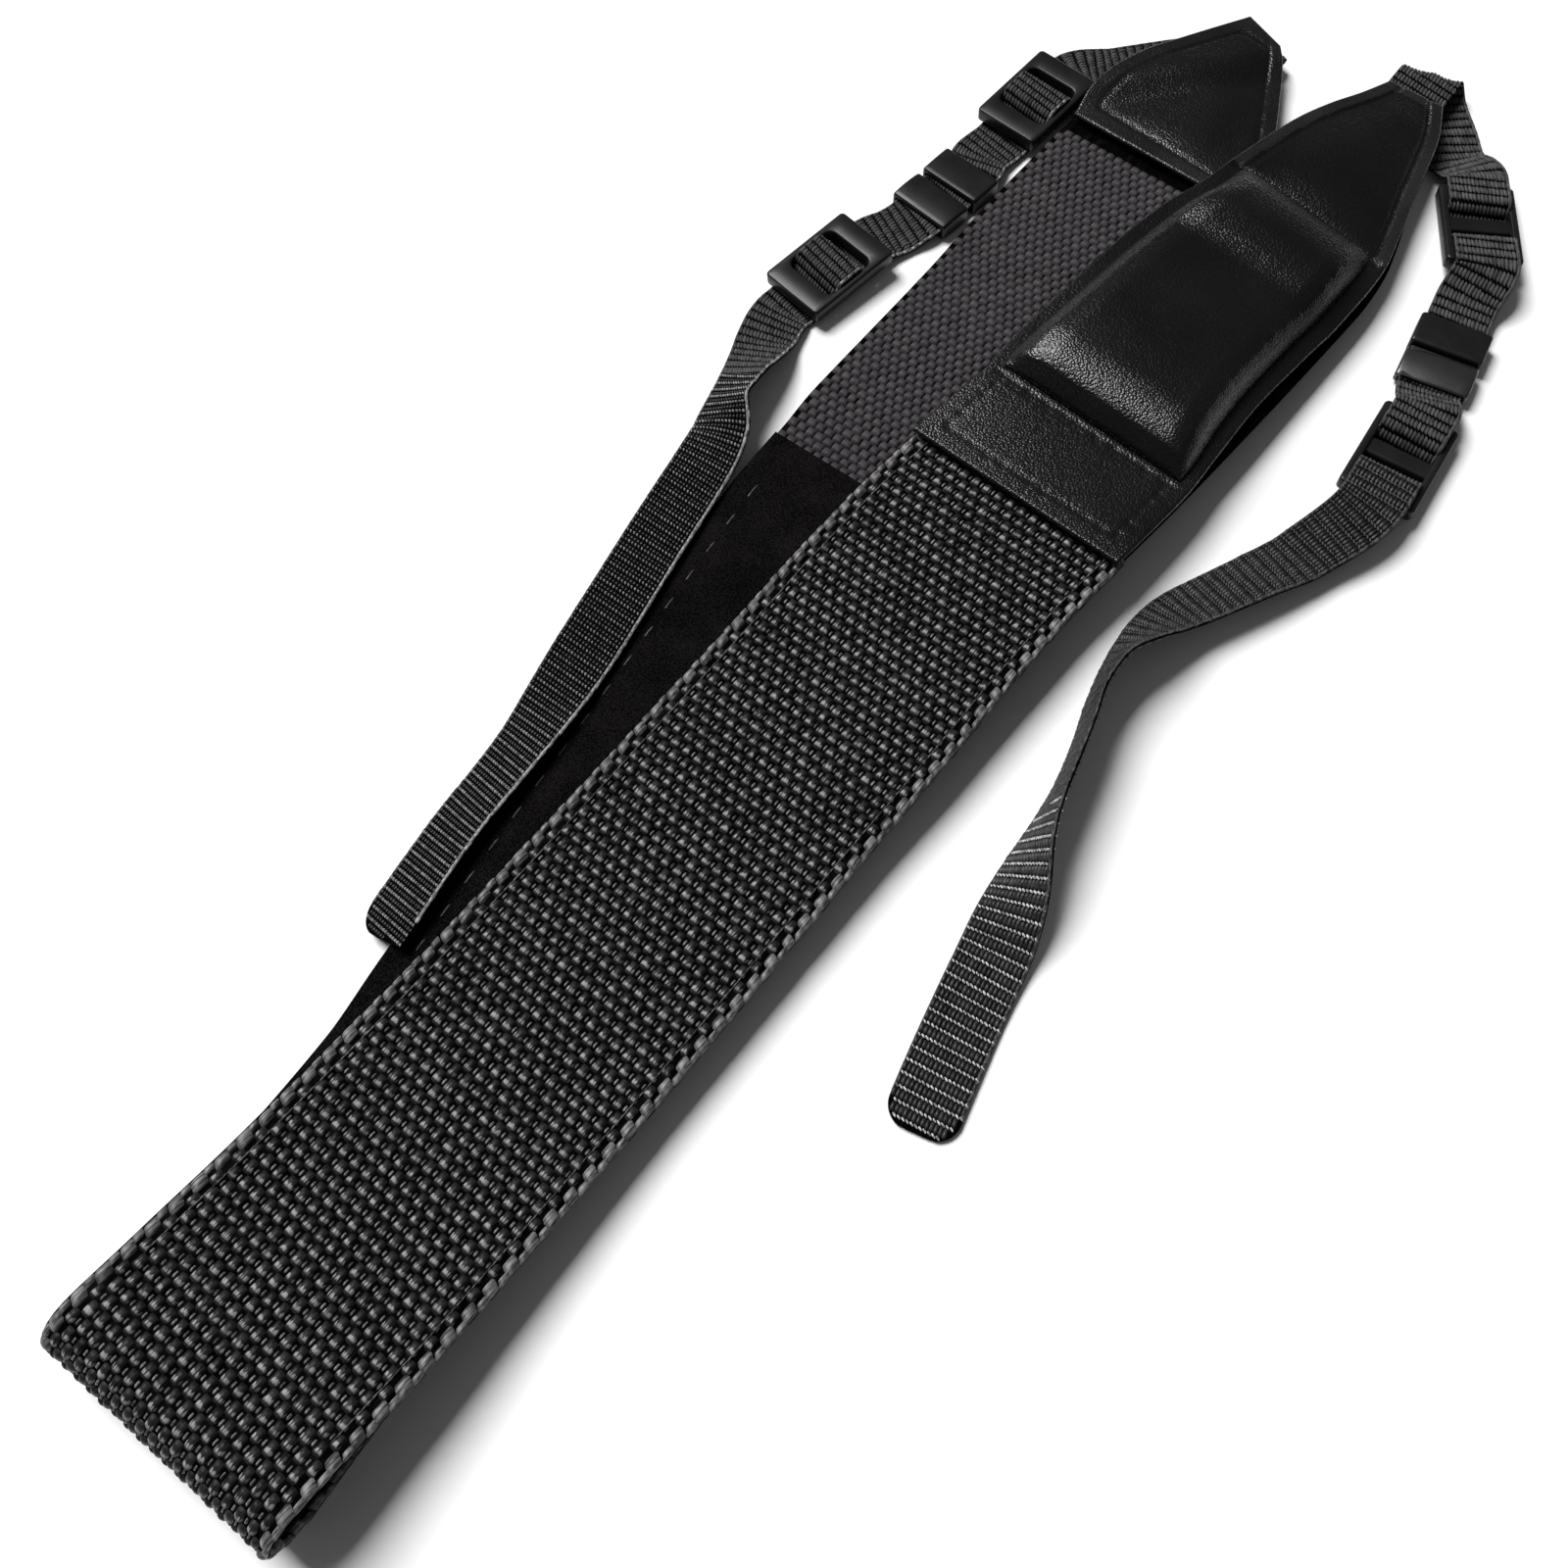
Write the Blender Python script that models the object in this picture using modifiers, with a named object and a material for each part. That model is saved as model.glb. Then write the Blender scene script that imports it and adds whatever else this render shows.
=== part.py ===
"""Camera neck strap, laid folded in half on a flat surface.

One wide woven band is folded over a soft loop, so that its two runs lie one on the other.
A thin lining backs the middle of the band. Each end of the band is held between two leather
panels, and the upper one carries a padded pouch. A narrow webbing tail leaves each leather
tip, folds back under it, and is threaded through two sliders and two keeper sleeves.

Axes: +Y runs from the fold towards the leather tips, +X towards the right tail, +Z up.
The origin is on the surface that the strap lies on, in the middle of its footprint.
Tables are in millimetres, and degrees where the column says so.
"""

import math

import bmesh
import bpy
import numpy as np
from mathutils import Matrix, Vector

MM = 0.001
COLLECTION = "camera_neck_strap"

# The footprint's middle in the tables' own coordinates, which start at the band's upper run.
LAID_CENTRE = (-5.9, 30.56)

# Woven band
BAND_WIDTH = 38.0
BAND_THICK = 1.8
GAP = 0.3                 # clearance between sewn layers
FOLD_POINT = (0.0, -109.4)
FOLD_SLANT = 3.0          # degrees that the fold line is turned from +X
FOLD_RADIUS = 5.9         # to the middle of the band
FOLD_SECTIONS = 18        # close sections round the fold
FOLD_BEFORE = 3.0         # where they begin, short of the fold line
FOLD_AFTER = 2.5          # where they end, past the half turn
LOWER_START = 4.0         # where the lower run's own curve begins, past the half turn
RUN_STEP = 9.0            # spacing of the lower run's sections
SHORTEST_STEP = 1.0
COLUMNS = 7               # places across the band and across a flat panel

# Lining on the band's inner face
LINING_THICK = 1.0
LINING_INSET = 0.5
LINING_END = 46.5         # Y of both cut ends

# Leather
LEATHER_THICK = 1.0
LEATHER_START = 55.0      # Y where the outer panels begin
INNER_TIP_START = 128.6   # Y where the inner tip panels begin
PADDED_COLUMNS = 9        # places across a padded panel
LEATHER_B_INSET = 1.0     # from the band's edges to the hidden panel's
TIP_MARGIN = 4.0          # between the hidden panel's last even section and its tip's outline
TIP_LENGTH = 18.0         # over which the layers inside a tip grow thinner
THINNING_A = 0.5
THINNING_B = 0.6
PADDING_B = 0.6           # share of the padding on the lower tip
FALL_B = (0.45, -16.0, 8.0)  # least share of it, the X where it is reached, the width of its fall

# Webbing tails
TAIL_WIDTH = 10.2
TAIL_THICK = 1.0
TAIL_STEP = 3.2           # spacing of the cross sections
TAIL_FOLD_SECTIONS = 9
TAIL_FOLD_CLEAR = 1.5     # straight run of a tail past its fold
TAIL_BELOW_TOP = 0.7      # middle of the right tail below the band's top, inside the tip

# Sliders: a frame with one thin cross bar
SLIDER_LENGTH = 18.0
SLIDER_WIDTH = 12.4
SLIDER_THICK = 2.4
SLIDER_BAR = 3.2
SLIDER_BAR_THICK = 1.4
SLIDER_BAR_INSET = 0.25   # from the frame's sides to the cross bar's ends
SLIDER_SLOT = 3.4
SLIDER_SLOT_WIDTH = 10.8
SLIDER_ROUND = 0.4
END_BAR_LEVEL = 2.0       # webbing's middle above or below the frame's, at the end bars
WEAVE_DEPTH = 3.5         # how far the webbing moves between end bar and cross bar
BAR_KNOT = 2.1            # reach of the level stretch at the cross bar
SLIDER_KNOTS = (-9.9, -4.5, -BAR_KNOT, BAR_KNOT, 4.5, 9.9)

# Keepers: plain sleeves
KEEPER_LENGTH = 6.4
KEEPER_WIDTH = 11.8
KEEPER_HEIGHT = 3.4
KEEPER_SLOT_WIDTH = 10.8
KEEPER_SLOT_HEIGHT = 1.8
KEEPER_ROUND = 0.35
KEEPER_KNOTS = (-3.4, 3.4)

# Upper run of the band: y, left edge, right edge, height of the top, roll (right side down)
UPPER_RUN = [
    (-100, -19.0, 19.0, 12.3, 0),
    (-90, -19.0, 19.0, 10.9, 0),
    (-80, -19.2, 18.8, 9.6, 0),
    (-68, -19.5, 18.5, 8.3, 0),
    (-48, -19.9, 18.1, 6.9, 0),
    (-24, -20.3, 17.7, 6.6, 0),
    (0, -20.7, 17.3, 6.9, 0),
    (14, -20.7, 17.3, 7.7, 0),
    (28, -21.0, 17.0, 8.2, 0),
    (42, -21.0, 17.0, 8.4, 0),
    (55, -20.3, 17.7, 8.4, 0),
    (70, -19.5, 18.5, 8.2, 2),
    (85, -19.0, 19.0, 7.8, 3),
    (100, -18.6, 19.3, 7.4, 5),
    (112, -17.2, 19.5, 7.1, 6),
    (122, -14.6, 19.6, 6.9, 7),
    (130, -12.9, 18.9, 6.7, 8),
    (138, -11.6, 16.9, 6.5, 8),
    (146, -9.8, 14.3, 6.4, 8),
    (156, -6.0, 11.5, 6.0, 8),
    (168, -2.4, 7.2, 5.6, 8),
]
UPPER_BAND_END = 146.0

# How the top of the band falls away from the fold: distance from the fold line, height
FOLD_APPROACH = [(0, 13.6), (4, 13.1), (9, 12.3), (18, 10.9)]

# Middle of the band's lower run: x, y
LOWER_RUN = [
    (-4.2, -66.5),
    (-6.9, -51.7),
    (-14.0, -6.0),
    (-20.0, 33.0),
    (-21.0, 44.0),
    (-21.5, 56.0),
    (-22.4, 88.0),
    (-23.4, 104.0),
    (-23.8, 130.0),
    (-24.6, 146.0),
]
LOWER_RISE = (46.5, 55.0)  # Y where the lower run climbs onto its outer leather panel
# Trimmed end of the lower run: y, width left of the middle, width right of the middle
LOWER_TRIM = [(125, 19.0, 19.0), (133, 18.5, 17.5), (139, 17.6, 14.8), (146, 15.4, 11.5)]

# Outline of the upper leather end: left x, left y, right x, right y
LEATHER_A = [
    (-20.4, 55.0, 17.9, 55.0),
    (-19.4, 64.0, 18.4, 64.0),
    (-18.6, 72.0, 18.7, 72.0),
    (-18.8, 81.0, 18.2, 81.0),
    (-18.1, 94.0, 17.6, 94.0),
    (-17.4, 106.0, 18.1, 106.0),
    (-16.0, 116.0, 18.7, 116.0),
    (-13.9, 124.0, 18.7, 123.0),
    (-12.8, 131.0, 18.3, 130.0),
    (-11.4, 139.0, 16.4, 138.5),
    (-9.6, 147.0, 14.2, 146.5),
    (-7.4, 153.5, 12.4, 154.0),
    (-4.8, 159.5, 10.6, 160.5),
    (-2.5, 165.8, 7.0, 168.0),
]
# Y of the panel's cross sections
LEATHER_A_SECTIONS = [LEATHER_START, 60.0, 66.0, 72.0, 80.0, 90.0, 100.0, 110.0, 120.0, 131.0,
                      133.5, 136.0, 140.0, 146.0, 151.0, 156.0, 160.0, 163.5, 166.9]

# Outline of the lower leather end's tip: left x, left y, right x, right y
LEATHER_B_TIP = [
    (-42.2, 128.6, -4.6, 128.6),
    (-43.2, 135.0, -6.6, 133.0),
    (-42.8, 140.0, -9.2, 140.0),
    (-41.0, 146.6, -12.6, 147.0),
    (-37.8, 153.4, -16.0, 153.6),
    (-34.3, 160.4, -19.4, 159.6),
    (-31.0, 166.4, -22.6, 163.4),
]
LEATHER_B_SECTIONS = [128.8, 134.0, 140.0, 146.0, 151.0, 156.0, 160.0, 163.0, 165.5]

# Pouch on the upper leather end: y, height above the leather, inset from the leather's edges
POUCH = [
    (73.0, 0.6, 2.2),
    (75.2, 3.6, 2.0),
    (77.6, 5.1, 2.0),
    (85.0, 5.2, 2.4),
    (100.0, 4.6, 2.6),
    (111.5, 3.6, 2.8),
    (114.5, 4.8, 2.8),
    (118.0, 5.2, 2.8),
    (125.0, 4.0, 2.8),
    (130.0, 1.2, 2.8),
]
# Cross section of the pouch: share of its width, share of its height
POUCH_SECTION = [(0.0, 0.12), (0.045, 0.55), (0.11, 0.88), (0.22, 1.0), (0.5, 1.0),
                 (0.78, 1.0), (0.89, 0.88), (0.955, 0.55), (1.0, 0.12)]

# Padding of the leather tips: y, rise of the middle above the edges
TIP_PADDING = [(131, 0.0), (136, 1.0), (146, 1.3), (158, 0.7), (165, 0.0)]

# The left tail lifts the lower leather where it passes under it
TAIL_LIFT = 1.6
LIFT_LINE_POINT = (-23.3, 164.2)
LIFT_LINE_ANGLE = 50.7    # degrees from +X
LIFT_REACH = (1.5, 8.5)   # distances from the line where the lift begins to fall and ends

# Tails: where each leaves its leather tip, folds under it, and is threaded
LEFT_EXIT = {"point": (-26.0, 165.5), "heading": 87.7, "run": -1.0, "fold_angle": -21.3,
             "z_in": 3.4, "z_out": 0.5}
RIGHT_EXIT = {"point": (1.9, 166.5), "heading": 93.0, "run": 7.0, "fold_angle": 23.0,
              "z_in": 5.0, "z_out": 1.1}
TAIL_HELD = (-7.0, -3.5)  # where the tail's sections lie between the leather panels

# Hardware: x, y, height of the middle, heading of the webbing in degrees from +X, and how
# many degrees a slider rises along it
LEFT_SLIDERS = [(-49.8, 128.2, 3.1, -92.0, -2.0), (-54.3, 76.2, 3.0, -96.5, -2.5)]
LEFT_KEEPERS = [(-49.6, 106.0, 1.7, -93.0), (-50.1, 98.3, 1.7, -94.5)]
RIGHT_SLIDERS = [(24.9, 151.5, 2.3, -57.0, 5.0), (38.9, 102.4, 2.4, -83.0, 1.0)]
RIGHT_KEEPERS = [(33.45, 127.8, 1.7, -77.5), (34.95, 121.05, 1.7, -77.5)]

# Tails between their hardware: x, y, height, of the webbing's middle
LEFT_UNDER_TIP = [(-35.8, 155.9, 0.56), (-44.2, 145.9, 0.56)]
LEFT_BETWEEN = [(-50.4, 113.2, 1.3), (-51.6, 91.0, 0.9)]
RIGHT_UNDER_TIP = [(9.8, 168.2, 1.0), (14.0, 163.8, 1.1)]
RIGHT_BETWEEN = [(31.4, 136.8, 2.2), (36.4, 115.6, 2.6)]

# Free ends of the tails: left edge x, y, z, and roll (right edge raised) in degrees
LEFT_FREE = [
    (-59.8, 61.4, 1.0, 2),
    (-58.5, 57.3, 0.7, 6),
    (-56.8, 53.5, 0.6, 19),
    (-55.4, 50.0, 0.6, 31),
    (-54.2, 46.6, 0.6, 37),
    (-52.6, 42.0, 1.2, 39),
    (-50.8, 37.2, 2.2, 16),
    (-49.1, 31.6, 3.1, 5),
    (-47.2, 23.6, 3.4, 3),
    (-45.4, 15.8, 3.4, 4),
    (-42.9, 5.4, 3.4, 4),
    (-40.4, -5.4, 3.2, 5),
    (-38.8, -12.6, 2.3, 13),
    (-37.3, -19.7, 1.2, 23),
    (-36.4, -26.4, 0.7, 27),
    (-35.2, -36.8, 0.6, 28),
    (-31.9, -55.2, 0.6, 26),
]
RIGHT_FREE = [
    (32.3, 80.5, 1.0, 14),
    (29.3, 72.5, 0.7, 22),
    (26.3, 65.2, 0.6, 26),
    (24.2, 59.8, 0.6, 29),
    (23.3, 54.6, 0.6, 38),
    (23.5, 49.8, 0.6, 52),
    (24.6, 44.0, 0.6, 71),
    (26.4, 37.6, 0.6, 80),
    (28.6, 31.4, 0.6, 81),
    (30.5, 24.5, 0.6, 80),
    (31.4, 18.6, 0.6, 75),
    (31.8, 12.8, 0.6, 62),
    (32.6, 4.2, 0.6, 28),
    (34.0, -2.6, 0.6, 6),
    (35.6, -9.4, 0.6, 0),
    (37.9, -18.4, 0.6, 0),
    (40.8, -28.9, 0.6, 0),
]
# The last section's half widths as shares, left and right
LEFT_TIP_SHARES = (0.3, 1.0)
RIGHT_TIP_SHARES = (0.7, 0.7)
SMOOTH_ANGLE = 40.0       # degrees, below which an edge is shaded smooth


# Material of each sort of piece: colour, roughness, metallic
MATERIALS = {
    "band_weave": ((0.075, 0.073, 0.080), 0.85, 0.0),
    "lining_suede": ((0.022, 0.020, 0.021), 0.95, 0.0),
    "leather_black": ((0.028, 0.027, 0.029), 0.55, 0.0),
    "tail_webbing": ((0.060, 0.058, 0.064), 0.80, 0.0),
    "slider_plastic": ((0.036, 0.033, 0.033), 0.45, 0.0),
}


# ---------------------------------------------------------------- tables and curves

def column(table, index):
    return [row[index] for row in table]


def ease(share):
    share = min(max(share, 0.0), 1.0)
    return share * share * (3.0 - 2.0 * share)


def slopes(xs, ys):
    """Tangents that keep a curve through the rows from overshooting them."""
    steps = np.diff(ys) / np.diff(xs)
    tangents = [steps[0]]
    for before, after in zip(steps[:-1], steps[1:]):
        product = before * after
        tangents.append(2.0 * product / (before + after) if product > 0.0 else 0.0)
    tangents.append(steps[-1])
    return tangents


def read(table, index, x):
    """Smooth value of one column at x, where the first column is ascending."""
    xs = column(table, 0)
    ys = column(table, index)
    x = min(max(x, xs[0]), xs[-1])
    tangents = slopes(xs, ys)
    for i in range(len(xs) - 1):
        if x <= xs[i + 1]:
            break
    width = xs[i + 1] - xs[i]
    t = (x - xs[i]) / width
    return ((2 * t**3 - 3 * t**2 + 1) * ys[i] + (t**3 - 2 * t**2 + t) * width * tangents[i]
            + (3 * t**2 - 2 * t**3) * ys[i + 1] + (t**3 - t**2) * width * tangents[i + 1])


def direction(degrees):
    angle = math.radians(degrees)
    return np.array([math.cos(angle), math.sin(angle)])


def left_of(vector):
    return np.array([-vector[1], vector[0]])


def route(points, step):
    """Stations along a smooth curve through rows of values.

    Each point is (values, heading or None), where the first two values are x and y.
    A heading fixes the curve's direction there, so two such points give a straight run.
    """
    values = [np.array(p[0], dtype=float) for p in points]
    chords = [np.linalg.norm(b[:2] - a[:2]) for a, b in zip(values[:-1], values[1:])]
    tangents = []
    for i, (value, heading) in enumerate(points):
        before = values[max(i - 1, 0)]
        after = values[min(i + 1, len(values) - 1)]
        span = sum(chords[max(i - 1, 0):min(i + 1, len(chords))])
        tangent = (after - before) / span
        if heading is not None:
            tangent[:2] = direction(heading)
            tangent[2:] = 0.0
        tangents.append(tangent)
    stations = []
    for i, chord in enumerate(chords):
        count = max(1, round(chord / step))
        for k in range(count):
            t = k / count
            curve = ((2 * t**3 - 3 * t**2 + 1) * values[i]
                     + (t**3 - 2 * t**2 + t) * chord * tangents[i]
                     + (3 * t**2 - 2 * t**3) * values[i + 1]
                     + (t**3 - t**2) * chord * tangents[i + 1])
            stations.append(curve)
    stations.append(values[-1])
    return stations


# ---------------------------------------------------------------- making objects

def material(slot):
    found = bpy.data.materials.get(slot)
    if found:
        return found
    colour, roughness, metallic = MATERIALS[slot]
    made = bpy.data.materials.new(slot)
    made.use_nodes = True
    shader = made.node_tree.nodes["Principled BSDF"]
    shader.inputs["Base Color"].default_value = (*colour, 1.0)
    shader.inputs["Roughness"].default_value = roughness
    shader.inputs["Metallic"].default_value = metallic
    made.diffuse_color = (*colour, 1.0)
    return made


def laid(point):
    """A table's point in millimetres, as a place in metres about the footprint's middle."""
    return Vector(((point[0] - LAID_CENTRE[0]) * MM, (point[1] - LAID_CENTRE[1]) * MM,
                   point[2] * MM))


def add_object(name, mesh, slot):
    made = bpy.data.objects.new(name, mesh)
    made.data.materials.clear()
    made.data.materials.append(material(slot))
    made.data.shade_smooth()
    made.data.set_sharp_from_angle(angle=math.radians(SMOOTH_ANGLE))
    bpy.data.collections[COLLECTION].objects.link(made)
    return made


def grid_mesh(name, rows):
    """Open surface through rows of places, each row with the same number of columns."""
    mesh = bmesh.new()
    lines = [[mesh.verts.new(place) for place in row] for row in rows]
    for near, far in zip(lines[:-1], lines[1:]):
        for i in range(len(near) - 1):
            mesh.faces.new((near[i], near[i + 1], far[i + 1], far[i]))
    data = bpy.data.meshes.new(name)
    mesh.to_mesh(data)
    mesh.free()
    return data


def sheet(name, rows, thickness, slot):
    """A shell of even thickness about an open surface, given as rows of places."""
    made = add_object(name, grid_mesh(name, rows), slot)
    shell = made.modifiers.new("thickness", "SOLIDIFY")
    shell.thickness = thickness * MM
    shell.offset = 0.0
    shell.use_even_offset = True
    return made


def block(name, size, place, turn, pitch=0.0):
    """A box of the given size in millimetres, turned and raised along its length."""
    bpy.ops.mesh.primitive_cube_add(size=1.0)
    made = bpy.context.active_object
    made.name = name
    made.data.name = name
    made.data.transform(Matrix.Diagonal((size[0] * MM, size[1] * MM, size[2] * MM, 1.0)))
    made.location = place
    made.rotation_euler = (0.0, -pitch, turn)
    for home in list(made.users_collection):
        home.objects.unlink(made)
    return made


def as_cutter(made):
    made.hide_render = True
    made.display_type = "WIRE"
    bpy.data.collections["cutters"].objects.link(made)
    return made


def as_part(made, slot, rounding):
    bpy.data.collections[COLLECTION].objects.link(made)
    made.data.materials.append(material(slot))
    bevel = made.modifiers.new("rounded_edges", "BEVEL")
    bevel.width = rounding * MM
    bevel.segments = 2
    bevel.limit_method = "ANGLE"
    return made


def combine(made, tool, operation):
    step = made.modifiers.new(operation.lower(), "BOOLEAN")
    step.operation = operation
    step.solver = "EXACT"
    step.object = tool


# ---------------------------------------------------------------- the band's two runs

def upper_top(x, y):
    """Height of the band's top on its upper run."""
    middle = (read(UPPER_RUN, 1, y) + read(UPPER_RUN, 2, y)) / 2.0
    roll = math.radians(read(UPPER_RUN, 4, y))
    return read(UPPER_RUN, 3, y) + (middle - x) * math.tan(roll)


def lift(x, y):
    """How far the left tail raises the lower leather end over a point."""
    along = direction(LIFT_LINE_ANGLE)
    away = (x - LIFT_LINE_POINT[0]) * along[1] - (y - LIFT_LINE_POINT[1]) * along[0]
    near, far = LIFT_REACH
    return TAIL_LIFT * (1.0 - ease((away - near) / (far - near)))


def lower_base(x, y):
    """Height of the underside of the band's lower run."""
    start, end = LOWER_RISE
    return (LEATHER_THICK + GAP) * ease((y - start) / (end - start)) + lift(x, y)


def folded(u, y, offset):
    """Place of the band's inner layers where it goes round the fold.

    u and y are a point of the flat, unfolded strip, and offset is its depth below the
    band's middle, towards the inside of the fold.
    """
    along = direction(FOLD_SLANT)
    across = -left_of(along)
    point = np.array([u, y]) - np.array(FOLD_POINT)
    beyond = float(point @ across)
    line = np.array(FOLD_POINT) + float(point @ along) * along
    if beyond <= 0.0:
        top = read(FOLD_APPROACH, 1, -beyond)
        plan = line + beyond * across
        return (*plan, top - BAND_THICK / 2.0 - offset)
    angle = min(beyond / FOLD_RADIUS, math.pi)
    radius = FOLD_RADIUS - offset
    past = max(beyond - math.pi * FOLD_RADIUS, 0.0)
    plan = line + (radius * math.sin(angle) - past) * across
    return (*plan, FOLD_RADIUS + BAND_THICK / 2.0 + radius * math.cos(angle))


def lower_middle(step):
    """Stations along the lower run, from the end of the fold to the leather tip."""
    start = FOLD_POINT[1] - math.pi * FOLD_RADIUS - LOWER_START
    first = folded(0.0, start, 0.0)
    points = [(first[:2], 90.0 + 2.0 * FOLD_SLANT)]
    points += [(row, None) for row in LOWER_RUN]
    return route(points, step)


def strip_rows(offset, inset, upper_end, lower_end):
    """Cross sections of a layer of the folded band, from its upper end to its lower end."""
    shares = np.linspace(0.0, 1.0, COLUMNS)
    rows = []
    stations = [y for y in column(UPPER_RUN, 0) if y < upper_end] + [upper_end]
    for y in sorted(stations, reverse=True):
        left = read(UPPER_RUN, 1, y) + inset
        right = read(UPPER_RUN, 2, y) - inset
        row = []
        for share in shares:
            x = left + (right - left) * share
            row.append(laid((x, y, upper_top(x, y) - BAND_THICK / 2.0 - offset)))
        rows.append(row)
    half = BAND_WIDTH / 2.0 - inset
    fold_start = FOLD_POINT[1] + FOLD_BEFORE
    fold_end = FOLD_POINT[1] - math.pi * FOLD_RADIUS - FOLD_AFTER
    for y in np.linspace(fold_start, fold_end, FOLD_SECTIONS):
        rows.append([laid(folded(half * (2.0 * s - 1.0), y, offset)) for s in shares])
    stations = lower_middle(RUN_STEP)
    for i in range(1, len(stations)):
        place = stations[i]
        if place[1] > lower_end:
            break
        heading = stations[min(i + 1, len(stations) - 1)] - stations[i - 1]
        heading = heading / np.linalg.norm(heading)
        rows.append(lower_row(place, heading, offset, inset, shares))
        last = place
    if lower_end - last[1] > SHORTEST_STEP:
        place = last + heading * (lower_end - last[1]) / heading[1]
        rows.append(lower_row(place, heading, offset, inset, shares))
    return rows


def lower_row(middle, heading, offset, inset, shares):
    """One cross section of a layer of the lower run."""
    side = -left_of(heading)
    left = read(LOWER_TRIM, 1, middle[1])
    right = read(LOWER_TRIM, 2, middle[1])
    row = []
    for share in shares:
        x, y = middle + side * (-left + inset + (left + right - 2.0 * inset) * share)
        row.append(laid((x, y, lower_base(x, y) + BAND_THICK / 2.0 + offset)))
    return row


def make_band():
    rows = strip_rows(0.0, 0.0, UPPER_BAND_END, LOWER_RUN[-1][1])
    sheet("band", rows, BAND_THICK, "band_weave")


def make_lining():
    offset = BAND_THICK / 2.0 + GAP + LINING_THICK / 2.0
    rows = strip_rows(offset, LINING_INSET, LINING_END, LINING_END)
    sheet("neck_lining", rows, LINING_THICK, "lining_suede")


# ---------------------------------------------------------------- leather ends

def outline_row(table, y, columns):
    """Points across an outline whose rows give the left and right edges."""
    keyed = [((row[1] + row[3]) / 2.0, *row) for row in table]
    left = np.array([read(keyed, 1, y), read(keyed, 2, y)])
    right = np.array([read(keyed, 3, y), read(keyed, 4, y)])
    return [left + (right - left) * share for share in np.linspace(0.0, 1.0, columns)]


def padding(share, y):
    return read(TIP_PADDING, 1, y) * math.sin(math.pi * share) ** 0.7


def panel_rows(table, ys, height, columns):
    """Rows of places over an outline, at the height that a function of x, y, share gives."""
    rows = []
    for y in ys:
        points = outline_row(table, y, columns)
        rows.append([laid((p[0], p[1], height(p[0], p[1], i / (columns - 1))))
                     for i, p in enumerate(points)])
    return rows


def make_leather_a():
    """The upper leather end: a long outer panel, and a short inner panel at its tip."""
    above = GAP + LEATHER_THICK / 2.0

    def outer(x, y, share):
        return upper_top(x, y) + above + padding(share, y)

    def inner(x, y, share):
        core = BAND_THICK - THINNING_A * ease((y - UPPER_BAND_END) / TIP_LENGTH)
        return upper_top(x, y) - core - above

    rows = panel_rows(LEATHER_A, LEATHER_A_SECTIONS, outer, PADDED_COLUMNS)
    sheet("leather_end_a", rows, LEATHER_THICK, "leather_black")
    tip = [y for y in LEATHER_A_SECTIONS if y > INNER_TIP_START]
    rows = panel_rows(LEATHER_A, [INNER_TIP_START] + tip, inner, COLUMNS)
    sheet("inner_tip_a", rows, LEATHER_THICK, "leather_black")


def make_pouch():
    """The padded pouch sewn to the upper leather end, as a closed loft."""
    mesh = bmesh.new()
    base = GAP * 2.0 + LEATHER_THICK
    rings = []
    for y, height, inset in POUCH:
        edge = outline_row(LEATHER_A, y, 2)
        left = edge[0][0] + inset
        right = edge[1][0] - inset
        ring = []
        for share, rise in POUCH_SECTION:
            x = left + (right - left) * share
            ring.append(mesh.verts.new(laid((x, y, upper_top(x, y) + base + height * rise))))
        for share, _ in reversed(POUCH_SECTION):
            x = left + (right - left) * share
            ring.append(mesh.verts.new(laid((x, y, upper_top(x, y) + base))))
        rings.append(ring)
    for near, far in zip(rings[:-1], rings[1:]):
        for i in range(len(near)):
            k = (i + 1) % len(near)
            mesh.faces.new((near[i], near[k], far[k], far[i]))
    top_count = len(POUCH_SECTION)
    for ring in (rings[0], rings[-1]):
        for i in range(top_count - 1):
            mesh.faces.new((ring[i], ring[i + 1], ring[-2 - i], ring[-1 - i]))
    bmesh.ops.recalc_face_normals(mesh, faces=mesh.faces)
    data = bpy.data.meshes.new("pouch")
    mesh.to_mesh(data)
    mesh.free()
    add_object("pouch", data, "leather_black")


def make_leather_b():
    """The lower leather end: a hidden outer panel, and the inner tip panel that shows."""
    body_half = BAND_WIDTH / 2.0 - LEATHER_B_INSET
    least, edge, width = FALL_B

    def outer(x, y, share):
        return LEATHER_THICK / 2.0 + lift(x, y)

    def inner(x, y, share):
        core = 2.0 * GAP + BAND_THICK - THINNING_B * ease((y - UPPER_BAND_END) / TIP_LENGTH)
        rise = padding(share, y) * (least + (1.0 - least) * ease((edge - x) / width))
        return LEATHER_THICK * 1.5 + core + lift(x, y) + rise * PADDING_B

    stations = lower_middle(RUN_STEP)
    rows = []
    for i in range(1, len(stations) - 1):
        middle = stations[i]
        if middle[1] < LEATHER_START or middle[1] > INNER_TIP_START - TIP_MARGIN:
            continue
        heading = stations[i + 1] - stations[i - 1]
        side = -left_of(heading / np.linalg.norm(heading))
        row = []
        for share in np.linspace(-1.0, 1.0, COLUMNS):
            place = middle + side * body_half * share
            row.append(laid((*place, outer(*place, share))))
        rows.append(row)
    rows += panel_rows(LEATHER_B_TIP, LEATHER_B_SECTIONS, outer, COLUMNS)
    sheet("leather_end_b", rows, LEATHER_THICK, "leather_black")
    tip = [INNER_TIP_START] + LEATHER_B_SECTIONS[1:]
    rows = panel_rows(LEATHER_B_TIP, tip, inner, PADDED_COLUMNS)
    sheet("inner_tip_b", rows, LEATHER_THICK, "leather_black")


# ---------------------------------------------------------------- tails

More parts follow.
